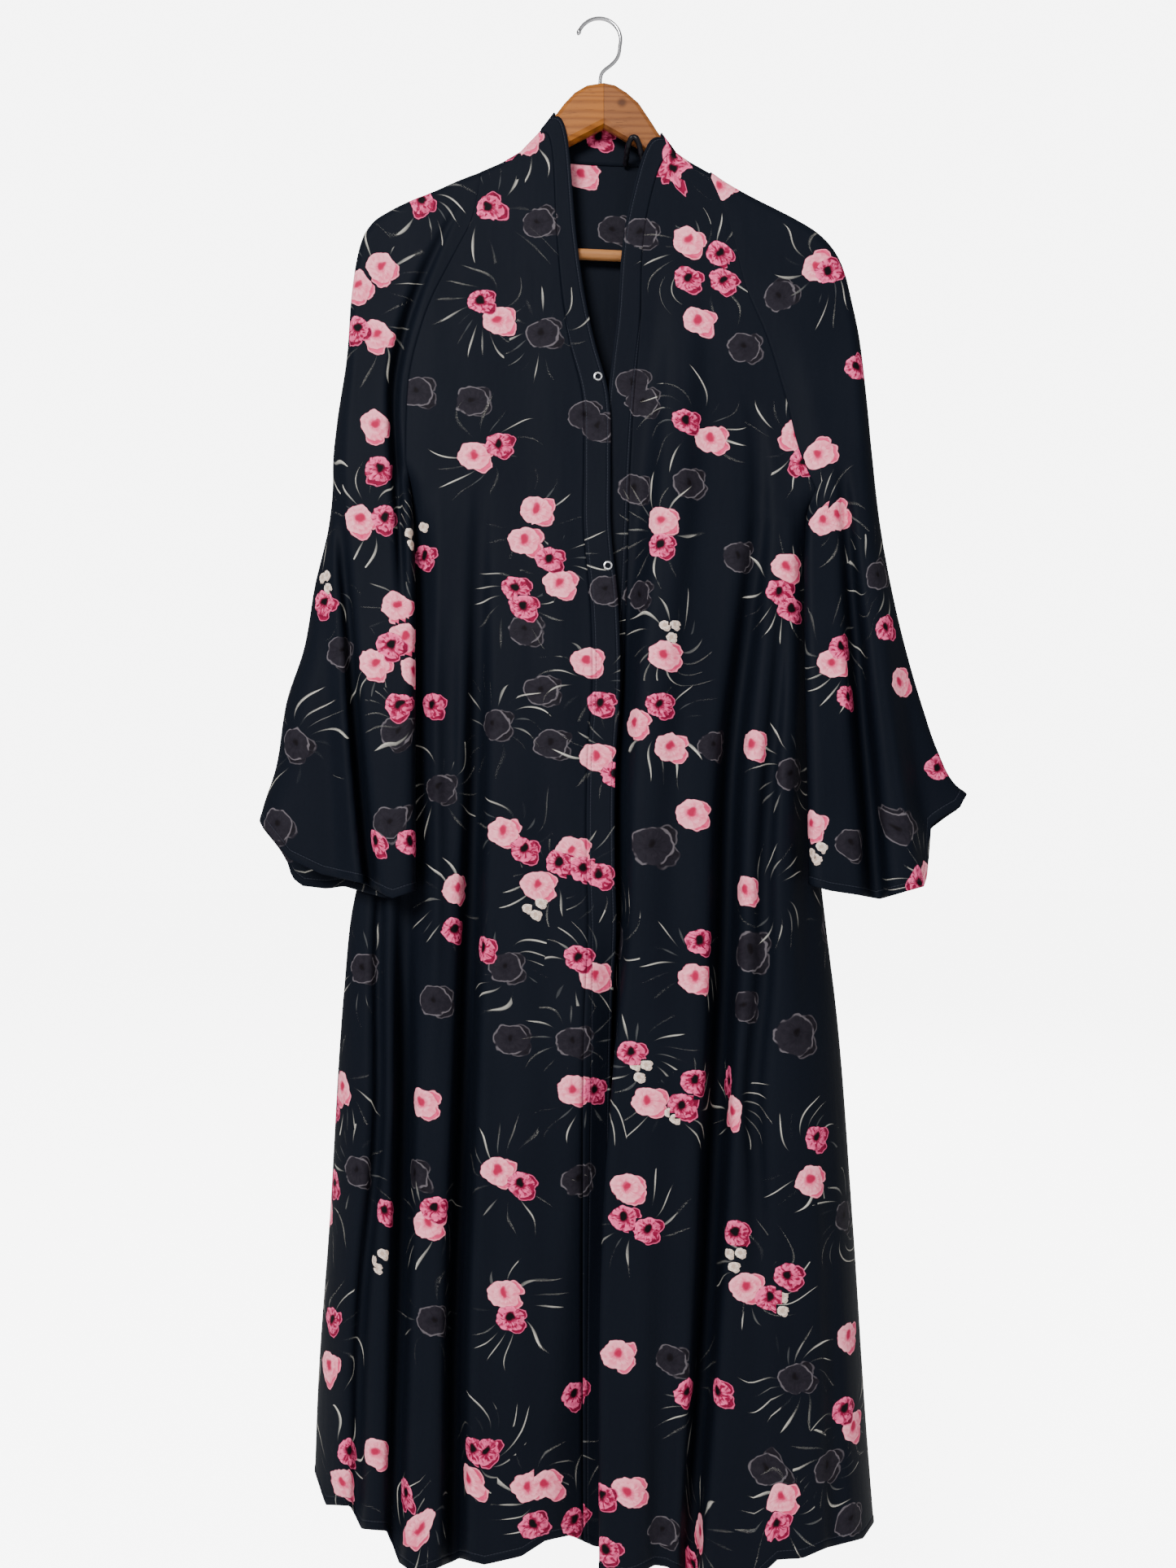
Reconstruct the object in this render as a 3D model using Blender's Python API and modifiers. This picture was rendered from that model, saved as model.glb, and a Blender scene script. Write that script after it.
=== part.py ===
"""Open-front abaya with wide bell sleeves, hung by its shoulders on a wooden clothes hanger.

Units are metres. +X runs to the wearer's left, the front faces -Y and +Z is up. The origin lies
inside the crown of the hanger's hook, where a rail or a wall hook carries the whole part.
Cloth tables give x and "down", the distance below the origin, both as read straight on in the
hanger's plane. A fold that stands forward of that plane looks larger than it is, so in_space()
brings it back to its real size.
"""
import math
from collections import namedtuple

import bmesh
import bpy
import numpy as np

# Driving sizes of the cloth
WALL = 0.0014
BAND_WALL = 0.0020
SEAM_GAP = 0.0009
BAND_WIDTH_RIGHT = ((0.110, 0.012), (0.205, 0.017), (0.320, 0.024), (0.400, 0.025), (1.480, 0.025))
BAND_WIDTH_LEFT = ((0.110, 0.012), (0.205, 0.017), (0.320, 0.024), (0.400, 0.025), (0.860, 0.025),
                   (0.988, 0.017), (1.173, 0.012), (1.480, 0.011))
SHOULDER_DEPTH = 0.0088
SHOULDER_DROP = 0.0080
WRAP_ANGLES = (90, 60, 30, 0, -30, -60)
RAGLAN_ROWS = 8
SKIRT_ROWS = 13
CUFF_ROWS = 10
HEM_ROWS = 5
FRONT_LIFT_ROWS = 4
BACK_LIFT_ROWS = 5
BACK_SPREAD = 0.17
LEVEL_BLEND = 0.3
EDGE_LAG = 0.012
SLOPE_STEP = 0.004
STEP_REACH = 1.4
TURN_STARTS = 0.005
TURN_ENDS = 0.030

# Place of the eye that the tables were read from
EYE_X = -0.0105
EYE_DOWN = 0.727
EYE_DISTANCE = 1.161
EYE_FADE = (0.18, 0.40)

# Driving sizes of the hanger
WOOD_THICKNESS = 0.014
WOOD_ROUNDING = 0.0055
MITRE_X = 0.0045
MITRE_GAP = 0.0003
MITRE_OVERRUN = 0.012
MITRE_CUT_DEPTH = 0.040
MITRE_CUT_HEIGHT = 0.120
ARM_TOP_RIGHT = ((-0.214, 0.2120), (-0.209, 0.2010), (-0.199, 0.1900), (-0.181, 0.1785),
                 (-0.156, 0.1665), (-0.135, 0.1570), (-0.113, 0.1480), (-0.092, 0.1390),
                 (-0.074, 0.1285), (-0.057, 0.1110), (-0.047, 0.0985), (-0.033, 0.0800),
                 (-0.024, 0.0705), (-0.012, 0.0635), (0.0045, 0.0610))
ARM_TOP_LEFT = ((0.0045, 0.0610), (0.016, 0.0635), (0.027, 0.0705), (0.038, 0.0800),
                (0.050, 0.0980), (0.059, 0.1120), (0.072, 0.1290), (0.086, 0.1385),
                (0.103, 0.1480), (0.119, 0.1570), (0.135, 0.1665), (0.152, 0.1755),
                (0.171, 0.1865), (0.189, 0.1970), (0.203, 0.2080), (0.211, 0.2180),
                (0.216, 0.2290))
ARM_UNDERSIDE_RIGHT = ((0.0045, 0.1030), (-0.0395, 0.1255), (-0.100, 0.1660), (-0.160, 0.1980),
                       (-0.204, 0.2250), (-0.211, 0.2250), (-0.215, 0.2190))
ARM_UNDERSIDE_LEFT = ((0.0045, 0.1030), (0.059, 0.1340), (0.110, 0.1720), (0.170, 0.2080),
                      (0.204, 0.2430), (0.212, 0.2430), (0.216, 0.2370))
BAR_RADIUS = 0.005
BAR_ENDS = ((-0.202, 0.2140), (0.204, 0.2330))
BAR_SEAT_CLEARANCE = 0.0003
WIRE_RADIUS = 0.00175
HOOK_RADIUS = 0.0206
HOOK_TIP_ANGLE = math.radians(166)
HOOK_TAIL_ANGLE = math.radians(-15)
HOOK_NECK = ((0.0196, 0.0290), (0.0184, 0.0340), (0.0158, 0.0385), (0.0118, 0.0425),
             (0.0074, 0.0458), (0.0038, 0.0487), (0.0018, 0.0524), (0.0011, 0.0568),
             (0.0010, 0.0640), (0.0010, 0.0860))
CLOTH_LIFT = 0.0007

# Front edges, the seams beside them and the garment's sides, as (x, down) from the top
EDGE_RIGHT = ((-0.0475, 0.105), (-0.0356, 0.136), (-0.0210, 0.225), (-0.0046, 0.306),
              (0.0085, 0.353), (0.0110, 0.420), (0.0110, 0.477), (0.0186, 0.562),
              (0.0200, 0.639), (0.0160, 0.701), (0.0150, 0.802), (0.0165, 0.860),
              (0.0130, 0.930), (0.0100, 1.143), (0.0100, 1.460))
EDGE_LEFT = ((0.0600, 0.123), (0.0585, 0.1356), (0.0457, 0.1666), (0.0340, 0.1976),
             (0.0248, 0.2248), (0.0163, 0.2906), (0.0090, 0.353), (0.0045, 0.420),
             (0.0000, 0.523), (-0.0040, 0.600), (-0.0110, 0.717), (-0.0120, 0.833),
             (-0.0120, 0.988), (-0.0100, 1.173), (-0.0100, 1.460))
RAGLAN_RIGHT = ((-0.1120, 0.154), (-0.1230, 0.200), (-0.1330, 0.219), (-0.1480, 0.247),
                (-0.1560, 0.262), (-0.1705, 0.299), (-0.1800, 0.336), (-0.1835, 0.375),
                (-0.1845, 0.420))
RAGLAN_LEFT = ((0.1060, 0.154), (0.1220, 0.193), (0.1300, 0.222), (0.1370, 0.251),
               (0.1600, 0.305), (0.1780, 0.360), (0.1930, 0.415), (0.2070, 0.446))
SIDE_RIGHT = ((-0.1845, 0.420), (-0.1815, 0.440), (-0.1800, 0.480), (-0.1850, 0.570),
              (-0.2010, 0.680), (-0.2190, 0.780), (-0.2350, 0.850), (-0.2420, 0.920),
              (-0.2560, 1.143), (-0.2670, 1.300), (-0.2700, 1.382))
SIDE_LEFT = ((0.2070, 0.446), (0.2035, 0.464), (0.2020, 0.510), (0.2030, 0.620),
             (0.2050, 0.717), (0.2090, 0.800), (0.2165, 0.870), (0.2240, 0.930),
             (0.2410, 1.143), (0.2540, 1.340), (0.2610, 1.430))
HEM_RIGHT = ((-0.270, 1.382), (-0.260, 1.413), (-0.237, 1.414), (-0.2255, 1.436), (-0.202, 1.438),
             (-0.190, 1.468), (-0.173, 1.480), (-0.156, 1.474), (-0.1325, 1.464), (-0.109, 1.470),
             (-0.074, 1.462), (-0.051, 1.447), (-0.028, 1.442), (-0.005, 1.452), (0.025, 1.456))
HEM_LEFT = ((0.000, 1.452), (0.007, 1.468), (0.030, 1.482), (0.0535, 1.470), (0.065, 1.472),
            (0.090, 1.486), (0.150, 1.484), (0.170, 1.465), (0.193, 1.464), (0.216, 1.454),
            (0.251, 1.445), (0.261, 1.430))
HEM_BACK = ((-0.270, 1.382), (-0.200, 1.420), (-0.120, 1.412), (-0.040, 1.424), (0.050, 1.414),
            (0.130, 1.426), (0.200, 1.418), (0.261, 1.430))
NECK_SEAM = ((-0.059, 0.1200), (-0.044, 0.1255), (-0.020, 0.1290), (0.006, 0.1305),
             (0.035, 0.1315), (0.058, 0.1330), (0.072, 0.1360))
NECK_TOP = ((-0.0475, 0.1055), (-0.036, 0.1015), (-0.016, 0.0975), (0.006, 0.0970),
            (0.030, 0.1020), (0.050, 0.1130), (0.060, 0.1205))
NECK_STANDS_BACK = 0.0135
NECK_COLUMNS = 11
BACK_COLUMNS = 19
SHOULDER_SEAM_GAP = 0.0008
SIDE_BENDS = (60, 36, 16)
SHOULDER_SEAM_RIGHT = (-0.112, -0.059)
SHOULDER_SEAM_LEFT = (0.072, 0.106)

# How far the cloth stands forward (minus y) or back, by down
FRONT_PLANE_RIGHT = ((0.150, -0.0088), (0.250, -0.0110), (0.353, -0.0150), (0.523, -0.0230),
                     (0.717, -0.0320), (0.911, -0.0400), (1.143, -0.0480), (1.460, -0.0540))
FRONT_PLANE_LEFT = ((0.150, -0.0088), (0.250, -0.0110), (0.353, -0.0160), (0.523, -0.0300),
                    (0.717, -0.0420), (0.911, -0.0530), (1.143, -0.0610), (1.460, -0.0650))
BACK_PLANE = ((0.150, 0.0088), (0.250, 0.0105), (0.353, 0.0130), (0.523, 0.0180),
              (0.717, 0.0220), (0.911, 0.0270), (1.143, 0.0320), (1.460, 0.0360))
SIDE_SEAM_Y = 0.0030
SIDE_SEAM_GAP = 0.0008
HEM_SHAPE_STARTS = 0.55
TURN_WIDTH = ((0.420, 0.010), (0.523, 0.028), (0.717, 0.038), (1.143, 0.055), (1.460, 0.062))

# A fold is a path down the cloth with a half width and the drop behind the plane, by down.
# A trough or a soft fold comes forward again past it. A step stays back on its inner side, and a
# rim on its outer side. MARKS are the places across a fold, in half widths, where columns lie.
Fold = namedtuple("Fold", "name kind path width drop lean")
UPRIGHT = ((0.0, 0.0), (1.5, 0.0))
MARKS = {"trough": (-1.35, -0.55, 0.55, 1.35), "soft": (-1.2, 0.0, 1.2), "step": (-1.2, 0.0, 1.2),
         "rim": (-1.2, 0.0, 1.2), "curl": (-1.7, -1.0, -0.35, 0.35, 1.0, 1.7)}
FOLDS_RIGHT = (
    Fold("centre recess", "step",
         ((0.150, -0.068), (0.500, -0.020), (0.850, 0.000), (1.143, -0.012), (1.460, -0.034)),
         ((0.150, 0.004), (0.850, 0.010), (1.143, 0.016), (1.460, 0.026)),
         ((0.840, 0.000), (0.920, 0.012), (1.143, 0.024), (1.460, 0.026)), UPRIGHT),
    Fold("main valley", "trough",
         ((0.150, -0.090), (0.250, -0.100), (0.484, -0.113), (0.628, -0.1155), (0.843, -0.1217),
          (1.070, -0.1294), (1.221, -0.135), (1.460, -0.138)),
         ((0.150, 0.003), (0.450, 0.008), (1.460, 0.010)),
         ((0.430, 0.000), (0.560, 0.008), (0.720, 0.024), (0.950, 0.036), (1.460, 0.038)), UPRIGHT),
    Fold("soft valley", "soft",
         ((0.150, -0.098), (0.250, -0.112), (0.500, -0.140), (0.830, -0.142), (1.460, -0.158)),
         ((0.150, 0.002), (0.450, 0.008), (1.460, 0.008)),
         ((0.550, 0.000), (0.680, 0.007), (0.870, 0.006), (1.050, 0.000)), UPRIGHT),
    Fold("room under the sleeve", "rim",
         ((0.150, -0.102), (0.353, -0.152), (0.500, -0.160), (0.830, -0.163), (1.460, -0.176)),
         ((0.150, 0.001), (0.450, 0.006), (0.830, 0.009), (1.460, 0.006)),
         ((0.440, 0.000), (0.520, 0.010), (0.700, 0.018), (0.840, 0.020), (0.940, 0.008),
          (1.050, 0.000)), UPRIGHT),
    Fold("side valley", "trough",
         ((0.150, -0.105), (0.353, -0.164), (0.550, -0.170), (0.818, -0.184), (1.020, -0.185),
          (1.171, -0.188), (1.373, -0.193), (1.460, -0.195)),
         ((0.150, 0.001), (0.450, 0.004), (0.850, 0.009), (1.460, 0.009)),
         ((0.700, 0.000), (0.850, 0.010), (0.950, 0.026), (1.300, 0.026), (1.460, 0.020)),
         UPRIGHT),
    Fold("edge valley", "soft",
         ((0.150, -0.109), (0.353, -0.176), (0.600, -0.182), (0.833, -0.2080), (1.070, -0.2110),
          (1.221, -0.2250), (1.460, -0.2310)),
         ((0.150, 0.001), (0.450, 0.002), (0.850, 0.006), (1.460, 0.007)),
         ((0.600, 0.000), (0.830, 0.012), (1.070, 0.016), (1.460, 0.012)), UPRIGHT),
)
FOLDS_LEFT = (
    Fold("centre step", "curl",
         ((0.150, 0.080), (0.180, 0.074), (0.338, 0.056), (0.467, 0.047), (0.581, 0.0355),
          (0.717, 0.0260), (0.833, 0.0250), (0.988, 0.0170), (1.173, 0.0140), (1.298, 0.0135),
          (1.460, 0.0140)),
         ((0.150, 0.003), (0.338, 0.008), (0.600, 0.0075), (0.717, 0.0065), (1.460, 0.0065)),
         ((0.200, 0.000), (0.330, 0.003), (0.430, 0.009), (0.523, 0.017), (0.717, 0.028),
          (0.911, 0.038), (1.143, 0.047), (1.460, 0.050)),
         ((0.880, 0.000), (1.173, 0.017), (1.460, 0.020))),
    Fold("soft hem wave", "soft",
         ((0.150, 0.088), (0.353, 0.105), (0.717, 0.075), (1.460, 0.060)),
         ((0.150, 0.002), (0.500, 0.012), (1.460, 0.014)),
         ((1.050, 0.000), (1.460, 0.012)), UPRIGHT),
    Fold("main valley", "trough",
         ((0.150, 0.095), (0.250, 0.112), (0.368, 0.146), (0.477, 0.152), (0.5557, 0.144),
          (0.698, 0.127), (0.9137, 0.1186), (1.061, 0.1116), (1.2485, 0.102), (1.460, 0.087)),
         ((0.150, 0.002), (0.500, 0.010), (0.950, 0.012), (1.250, 0.011), (1.460, 0.010)),
         ((0.360, 0.000), (0.500, 0.010), (0.600, 0.022), (0.750, 0.034), (0.950, 0.042),
          (1.200, 0.040), (1.460, 0.036)), UPRIGHT),
    Fold("soft valley", "soft",
         ((0.150, 0.100), (0.353, 0.166), (0.500, 0.178), (0.602, 0.172), (0.805, 0.158),
          (0.911, 0.1566), (1.019, 0.147), (1.104, 0.150), (1.460, 0.150)),
         ((0.150, 0.001), (0.400, 0.004), (0.600, 0.007), (1.460, 0.010)),
         ((0.540, 0.000), (0.640, 0.009), (0.950, 0.012), (1.050, 0.012), (1.200, 0.002)), UPRIGHT),
    Fold("room under the sleeve", "rim",
         ((0.150, 0.103), (0.353, 0.168), (0.500, 0.188), (0.800, 0.190), (1.143, 0.200),
          (1.460, 0.205)),
         ((0.150, 0.001), (0.400, 0.003), (0.500, 0.005), (0.800, 0.007), (1.460, 0.008)),
         ((0.450, 0.000), (0.540, 0.010), (0.700, 0.018), (0.840, 0.018), (0.960, 0.004),
          (1.100, 0.000)), UPRIGHT),
    Fold("side wave", "soft",
         ((0.150, 0.1045), (0.353, 0.173), (0.500, 0.195), (0.800, 0.203), (1.143, 0.218),
          (1.460, 0.226)),
         ((0.150, 0.001), (0.400, 0.002), (0.800, 0.004), (1.460, 0.010)),
         ((0.950, 0.000), (1.200, 0.006), (1.460, 0.012)), UPRIGHT),
)
FOLDS_BACK = tuple(
    Fold(name, "soft", ((0.150, top), (0.400, chest), (0.900, knee), (1.460, hem)),
         ((0.150, 0.003), (0.500, 0.012), (1.460, 0.016)),
         ((start, 0.0), (0.900, middle), (1.460, low)), UPRIGHT)
    for name, top, chest, knee, hem, start, middle, low in (
        ("outer valley right", -0.090, -0.140, -0.165, -0.200, 0.45, 0.009, 0.017),
        ("inner valley right", -0.050, -0.070, -0.085, -0.105, 0.40, 0.012, 0.020),
        ("middle valley", 0.000, -0.005, -0.010, -0.015, 0.50, 0.008, 0.016),
        ("inner valley left", 0.045, 0.060, 0.070, 0.085, 0.38, 0.013, 0.021),
        ("outer valley left", 0.085, 0.140, 0.150, 0.178, 0.45, 0.010, 0.018),
    )
)

# A sleeve runs from the raglan seam and its inner edge out over the shoulder to the cuff's corner
Sleeve = namedtuple("Sleeve", "inner outer hem_front hem_back folds")
SLEEVE_RIGHT = Sleeve(
    inner=((-0.1845, 0.420), (-0.1875, 0.437), (-0.1880, 0.470), (-0.1820, 0.560), (-0.1780, 0.640),
           (-0.1765, 0.720), (-0.1755, 0.800), (-0.1750, 0.8285)),
    outer=((-0.1120, 0.1460), (-0.1350, 0.1550), (-0.1560, 0.1645), (-0.1810, 0.1745),
           (-0.1990, 0.1835), (-0.2130, 0.1925), (-0.2215, 0.2030), (-0.2270, 0.2170),
           (-0.2310, 0.2350), (-0.2345, 0.2600), (-0.2395, 0.3216), (-0.2490, 0.3836),
           (-0.2527, 0.4200), (-0.2530, 0.4456), (-0.2560, 0.4766), (-0.2700, 0.5386),
           (-0.2810, 0.6006), (-0.2960, 0.6450), (-0.3080, 0.7150), (-0.3200, 0.7520),
           (-0.3225, 0.7630)),
    hem_front=((0.0, 0.0), (0.157, 0.0180), (0.320, 0.0147), (0.605, 0.0240), (0.820, 0.0228),
               (0.860, 0.0175), (1.0, 0.0)),
    hem_back=((0.0, 0.0), (0.200, 0.0200), (0.460, 0.0260), (0.570, 0.0357), (0.730, 0.0434),
              (0.795, 0.0395), (0.825, 0.0270), (0.870, 0.0186), (0.973, 0.0060), (1.0, 0.0)),
    folds=(
        Fold("seam groove", "trough",
             ((0.154, -0.116), (0.213, -0.150), (0.276, -0.178), (0.340, -0.194), (0.423, -0.1935),
              (0.485, -0.1900), (0.560, -0.187), (0.829, -0.186)),
             ((0.154, 0.002), (0.213, 0.005), (0.400, 0.005), (0.829, 0.003)),
             ((0.180, 0.000), (0.240, 0.006), (0.300, 0.012), (0.420, 0.014), (0.500, 0.010),
              (0.570, 0.000)), UPRIGHT),
        Fold("sleeve valley", "trough",
             ((0.154, -0.122), (0.300, -0.222), (0.420, -0.248), (0.490, -0.245), (0.590, -0.237),
              (0.665, -0.2325), (0.740, -0.226), (0.800, -0.220), (0.829, -0.216)),
             ((0.154, 0.002), (0.400, 0.005), (0.829, 0.007)),
             ((0.380, 0.000), (0.470, 0.006), (0.600, 0.018), (0.700, 0.026), (0.829, 0.028)),
             UPRIGHT),
        Fold("outer recess", "rim",
             ((0.154, -0.125), (0.300, -0.230), (0.420, -0.251), (0.490, -0.254), (0.590, -0.251),
              (0.665, -0.248), (0.740, -0.243), (0.829, -0.236)),
             ((0.154, 0.002), (0.400, 0.006), (0.829, 0.012)),
             ((0.400, 0.000), (0.500, 0.006), (0.700, 0.016), (0.829, 0.020)), UPRIGHT),
    ),
)
SLEEVE_LEFT = Sleeve(
    inner=((0.2070, 0.446), (0.2090, 0.462), (0.2040, 0.500), (0.1995, 0.560), (0.1990, 0.6626),
           (0.2000, 0.740), (0.2010, 0.823)),
    outer=((0.1060, 0.1460), (0.1190, 0.1550), (0.1350, 0.1645), (0.1520, 0.1735),
           (0.1710, 0.1830), (0.1890, 0.1925), (0.2060, 0.2030), (0.2180, 0.2140),
           (0.2270, 0.2270), (0.2335, 0.2430), (0.2390, 0.2650), (0.2457, 0.2950),
           (0.2534, 0.3526), (0.2596, 0.4146), (0.2666, 0.4766), (0.2775, 0.5386),
           (0.2920, 0.6006), (0.3080, 0.6550), (0.3210, 0.6936), (0.3370, 0.7250),
           (0.3500, 0.7370)),
    hem_front=((0.0, 0.0), (0.130, 0.0170), (0.297, 0.0350), (0.445, 0.0519), (0.725, 0.0640),
               (0.745, 0.0560), (0.775, 0.0090), (0.874, 0.0077), (0.956, 0.0080), (1.0, 0.0)),
    hem_back=((0.0, 0.0), (0.200, 0.0200), (0.445, 0.0420), (0.680, 0.0480), (0.760, 0.0130),
              (0.874, 0.0100), (0.956, 0.0090), (1.0, 0.0)),
    folds=(
        Fold("sleeve valley", "trough",
             ((0.154, 0.114), (0.300, 0.205), (0.420, 0.230), (0.485, 0.236), (0.540, 0.240),
              (0.600, 0.245), (0.660, 0.250), (0.740, 0.257), (0.829, 0.2635)),
             ((0.154, 0.002), (0.400, 0.005), (0.600, 0.009), (0.829, 0.011)),
             ((0.420, 0.000), (0.480, 0.010), (0.560, 0.022), (0.650, 0.031), (0.829, 0.035)),
             UPRIGHT),
        Fold("back layer", "rim",
             ((0.154, 0.118), (0.300, 0.215), (0.480, 0.262), (0.560, 0.274), (0.640, 0.284),
              (0.700, 0.293), (0.760, 0.302), (0.829, 0.312)),
             ((0.154, 0.002), (0.400, 0.006), (0.640, 0.008), (0.829, 0.008)),
             ((0.480, 0.000), (0.560, 0.008), (0.680, 0.026), (0.829, 0.036)), UPRIGHT),
    ),
)
SLEEVE_FRONT_PLANE = ((0.146, -0.0088), (0.250, -0.0120), (0.353, -0.0200), (0.523, -0.0340),
                      (0.700, -0.0480), (0.829, -0.0560))
SLEEVE_BACK_PLANE = ((0.146, 0.0088), (0.250, 0.0110), (0.353, 0.0130), (0.523, 0.0140),
                     (0.700, 0.0130), (0.829, 0.0120))
SLEEVE_INNER_Y = ((0.420, -0.0020), (0.450, -0.0060), (0.500, -0.0160), (0.600, -0.0230),
                  (0.720, -0.0290), (0.829, -0.0320))
SLEEVE_OUTER_Y = ((0.146, 0.0000), (0.300, -0.0010), (0.500, -0.0060), (0.829, -0.0120))
SLEEVE_OUTER_TURN = ((0.146, 0.0080), (0.250, 0.0100), (0.400, 0.0160), (0.829, 0.0240))
SLEEVE_INNER_TURN = 0.009
SLEEVE_BACK_LAYER = 0.0075
UNDERARM_BLEND = 0.045
UNDERARM_EASE = 0.0010
SLEEVE_BACK_COLUMNS = 5
LEAST_SPAN = 0.012
LEAST_STEP = 0.25

# Small pieces: the snap fasteners' centres and sizes, and the hanging loop's path
SNAPS = (("upper", -0.0010, 0.3400), ("lower", 0.0085, 0.5190))
SNAP_RADIUS = 0.0047
SNAP_HOLE = 0.0026
SNAP_HEIGHT = 0.0016
SNAP_CLEARANCE = 0.0006
SNAP_SHOULDER = 0.86
SNAP_CREST = 0.66
STUD_FROM_EDGE = 0.011
LOOP_LINE = ((0.0220, 0.1290, 0.0100), (0.0240, 0.1235, 0.0020), (0.0265, 0.1190, -0.0070),
             (0.0305, 0.1155, -0.0105), (0.0350, 0.1175, -0.0105), (0.0385, 0.1265, -0.0060),
             (0.0450, 0.1370, 0.0020), (0.0510, 0.1430, 0.0068), (0.0560, 0.1470, 0.0074))
LOOP_RADIUS = 0.0020
LOOP_POINTS = 20


def curve(table, place):
    """Smooth value at a place, or at many, through a table of (place, value) rows."""
    places, values = np.array(table, dtype=float).T
    slopes = np.gradient(values, places)
    place = np.clip(np.asarray(place, dtype=float), places[0], places[-1])
    row = np.clip(np.searchsorted(places, place, side="right") - 1, 0, len(places) - 2)
    span = places[row + 1] - places[row]
    s = (place - places[row]) / span
    return ((1 + 2 * s) * (1 - s) ** 2 * values[row] + s * (1 - s) ** 2 * span * slopes[row]
            + s ** 2 * (3 - 2 * s) * values[row + 1] - s ** 2 * (1 - s) * span * slopes[row + 1])


def by_down(points):
    """Turn (x, down) rows into the (down, x) table that curve() reads."""
    return tuple((down, x) for x, down in points)


def walk(points, part):
    """Point (x, down) at a part, 0 to 1, of the length of a line of points."""
    line = np.array(points, dtype=float)
    steps = np.hypot(*np.diff(line, axis=0).T)
    lengths = np.concatenate(([0.0], np.cumsum(steps)))
    at = np.asarray(part) * lengths[-1]
    return (curve(np.column_stack((lengths, line[:, 0])), at),
            curve(np.column_stack((lengths, line[:, 1])), at))


def ease(value):
    """Smooth rise from 0 to 1."""
    value = np.clip(value, 0.0, 1.0)
    return value * value * (3 - 2 * value)


def ramp(value, start, end):
    """Smooth rise from 0 at start to 1 at end."""
    return ease((value - start) / (end - start))


def in_space(x, down, y):
    """World point of a place on the cloth, its nearness to the eye taken out."""
    near = 1 + ramp(down, *EYE_FADE) * y / EYE_DISTANCE
    return (EYE_X + (x - EYE_X) * near, y, -(EYE_DOWN + (down - EYE_DOWN) * near))


def arm_top(x):
    """Down of the wood's top outline at x."""
    right = np.interp(x, *np.array(ARM_TOP_RIGHT).T)
    left = np.interp(x, *np.array(ARM_TOP_LEFT).T)
    return np.where(np.asarray(x) < MITRE_X, right, left)


def ridge(x):
    """Down of the middle of cloth that lies on the wood at x, clear of it by the rest gap."""
    slope = (arm_top(x + SLOPE_STEP) - arm_top(x - SLOPE_STEP)) / (2 * SLOPE_STEP)
    return arm_top(x) - (BAND_WALL / 2 + CLOTH_LIFT) * np.sqrt(1 + slope ** 2)


def fold_offset(folds, x, down, hand):
    """How far folds push the cloth back, and sideways where they lean."""
    back = np.zeros_like(x)
    aside = np.zeros_like(x)
    for fold in folds:
        s = (x - curve(fold.path, down)) / curve(fold.width, down) * hand
        drop = np.maximum(curve(fold.drop, down), 0.0)
        if fold.kind in ("trough", "soft"):
            back += drop * np.exp(-np.abs(s) ** 3)
        elif fold.kind in ("step", "curl"):
            back += drop * ease((STEP_REACH - s) / (2 * STEP_REACH))
        else:
            back += drop * ease((s + STEP_REACH) / (2 * STEP_REACH))
        s = np.maximum(s, -1.0)
        aside -= hand * curve(fold.lean, down) * s * np.exp(0.5 * (1 - s * s))
    return back, aside


def key_columns(folds, x_in, x_out, down_in, down_out, plateaus=()):
    """Parts of a row, 0 inside to 1 outside, that meet every fold's lips and bottom.

    A wide flat stretch after the fold numbers in plateaus gets one more column.
    """
    keys = [0.0]
    starts = []
    span = math.copysign(max(abs(x_out - x_in), LEAST_SPAN), x_out - x_in)
    for number, fold in enumerate(folds):
        part = 0.5
        for _ in range(4):
            down = down_in + (down_out - down_in) * part
            part = float(np.clip((curve(fold.path, down) - x_in) / span, 0.0, 1.0))
        half = float(curve(fold.width, down) / abs(span))
        keys += [part + half * mark for mark in MARKS[fold.kind]]
        if number in plateaus:
            starts.append(len(keys) - 1)
    keys.append(1.0)
    least = LEAST_STEP / len(keys)
    for index in range(1, len(keys)):
        keys[index] = max(keys[index], keys[index - 1] + least)
    for index in range(len(keys) - 2, -1, -1):
        keys[index] = min(keys[index], 1.0 - least * (len(keys) - 1 - index))
    keys[-1] = 1.0
    keys += [(keys[start] + keys[start + 1]) / 2 for start in starts]
    return np.sort(np.array(keys))


def front_depth(hand, x, down):
    """y of a front panel at a place, with its folds and the turn to the side seam."""
    right = hand < 0
    plane = curve(FRONT_PLANE_RIGHT if right else FRONT_PLANE_LEFT, down)
    back, aside = fold_offset(FOLDS_RIGHT if right else FOLDS_LEFT, x, down, hand)
    side = curve(by_down(side_line(hand)), down)
    underarm = (SIDE_RIGHT if right else SIDE_LEFT)[0][1]
    strength = ramp(down, underarm - TURN_STARTS, underarm + TURN_ENDS)
    near_side = 1 - np.clip(hand * (side - x) / curve(TURN_WIDTH, down), 0.0, 1.0)
    seam_y = SIDE_SEAM_Y - SIDE_SEAM_GAP / 2
    y = seam_y + (plane + back - seam_y) * np.sqrt(1 - near_side ** 2 * strength)
    return y, aside


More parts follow.
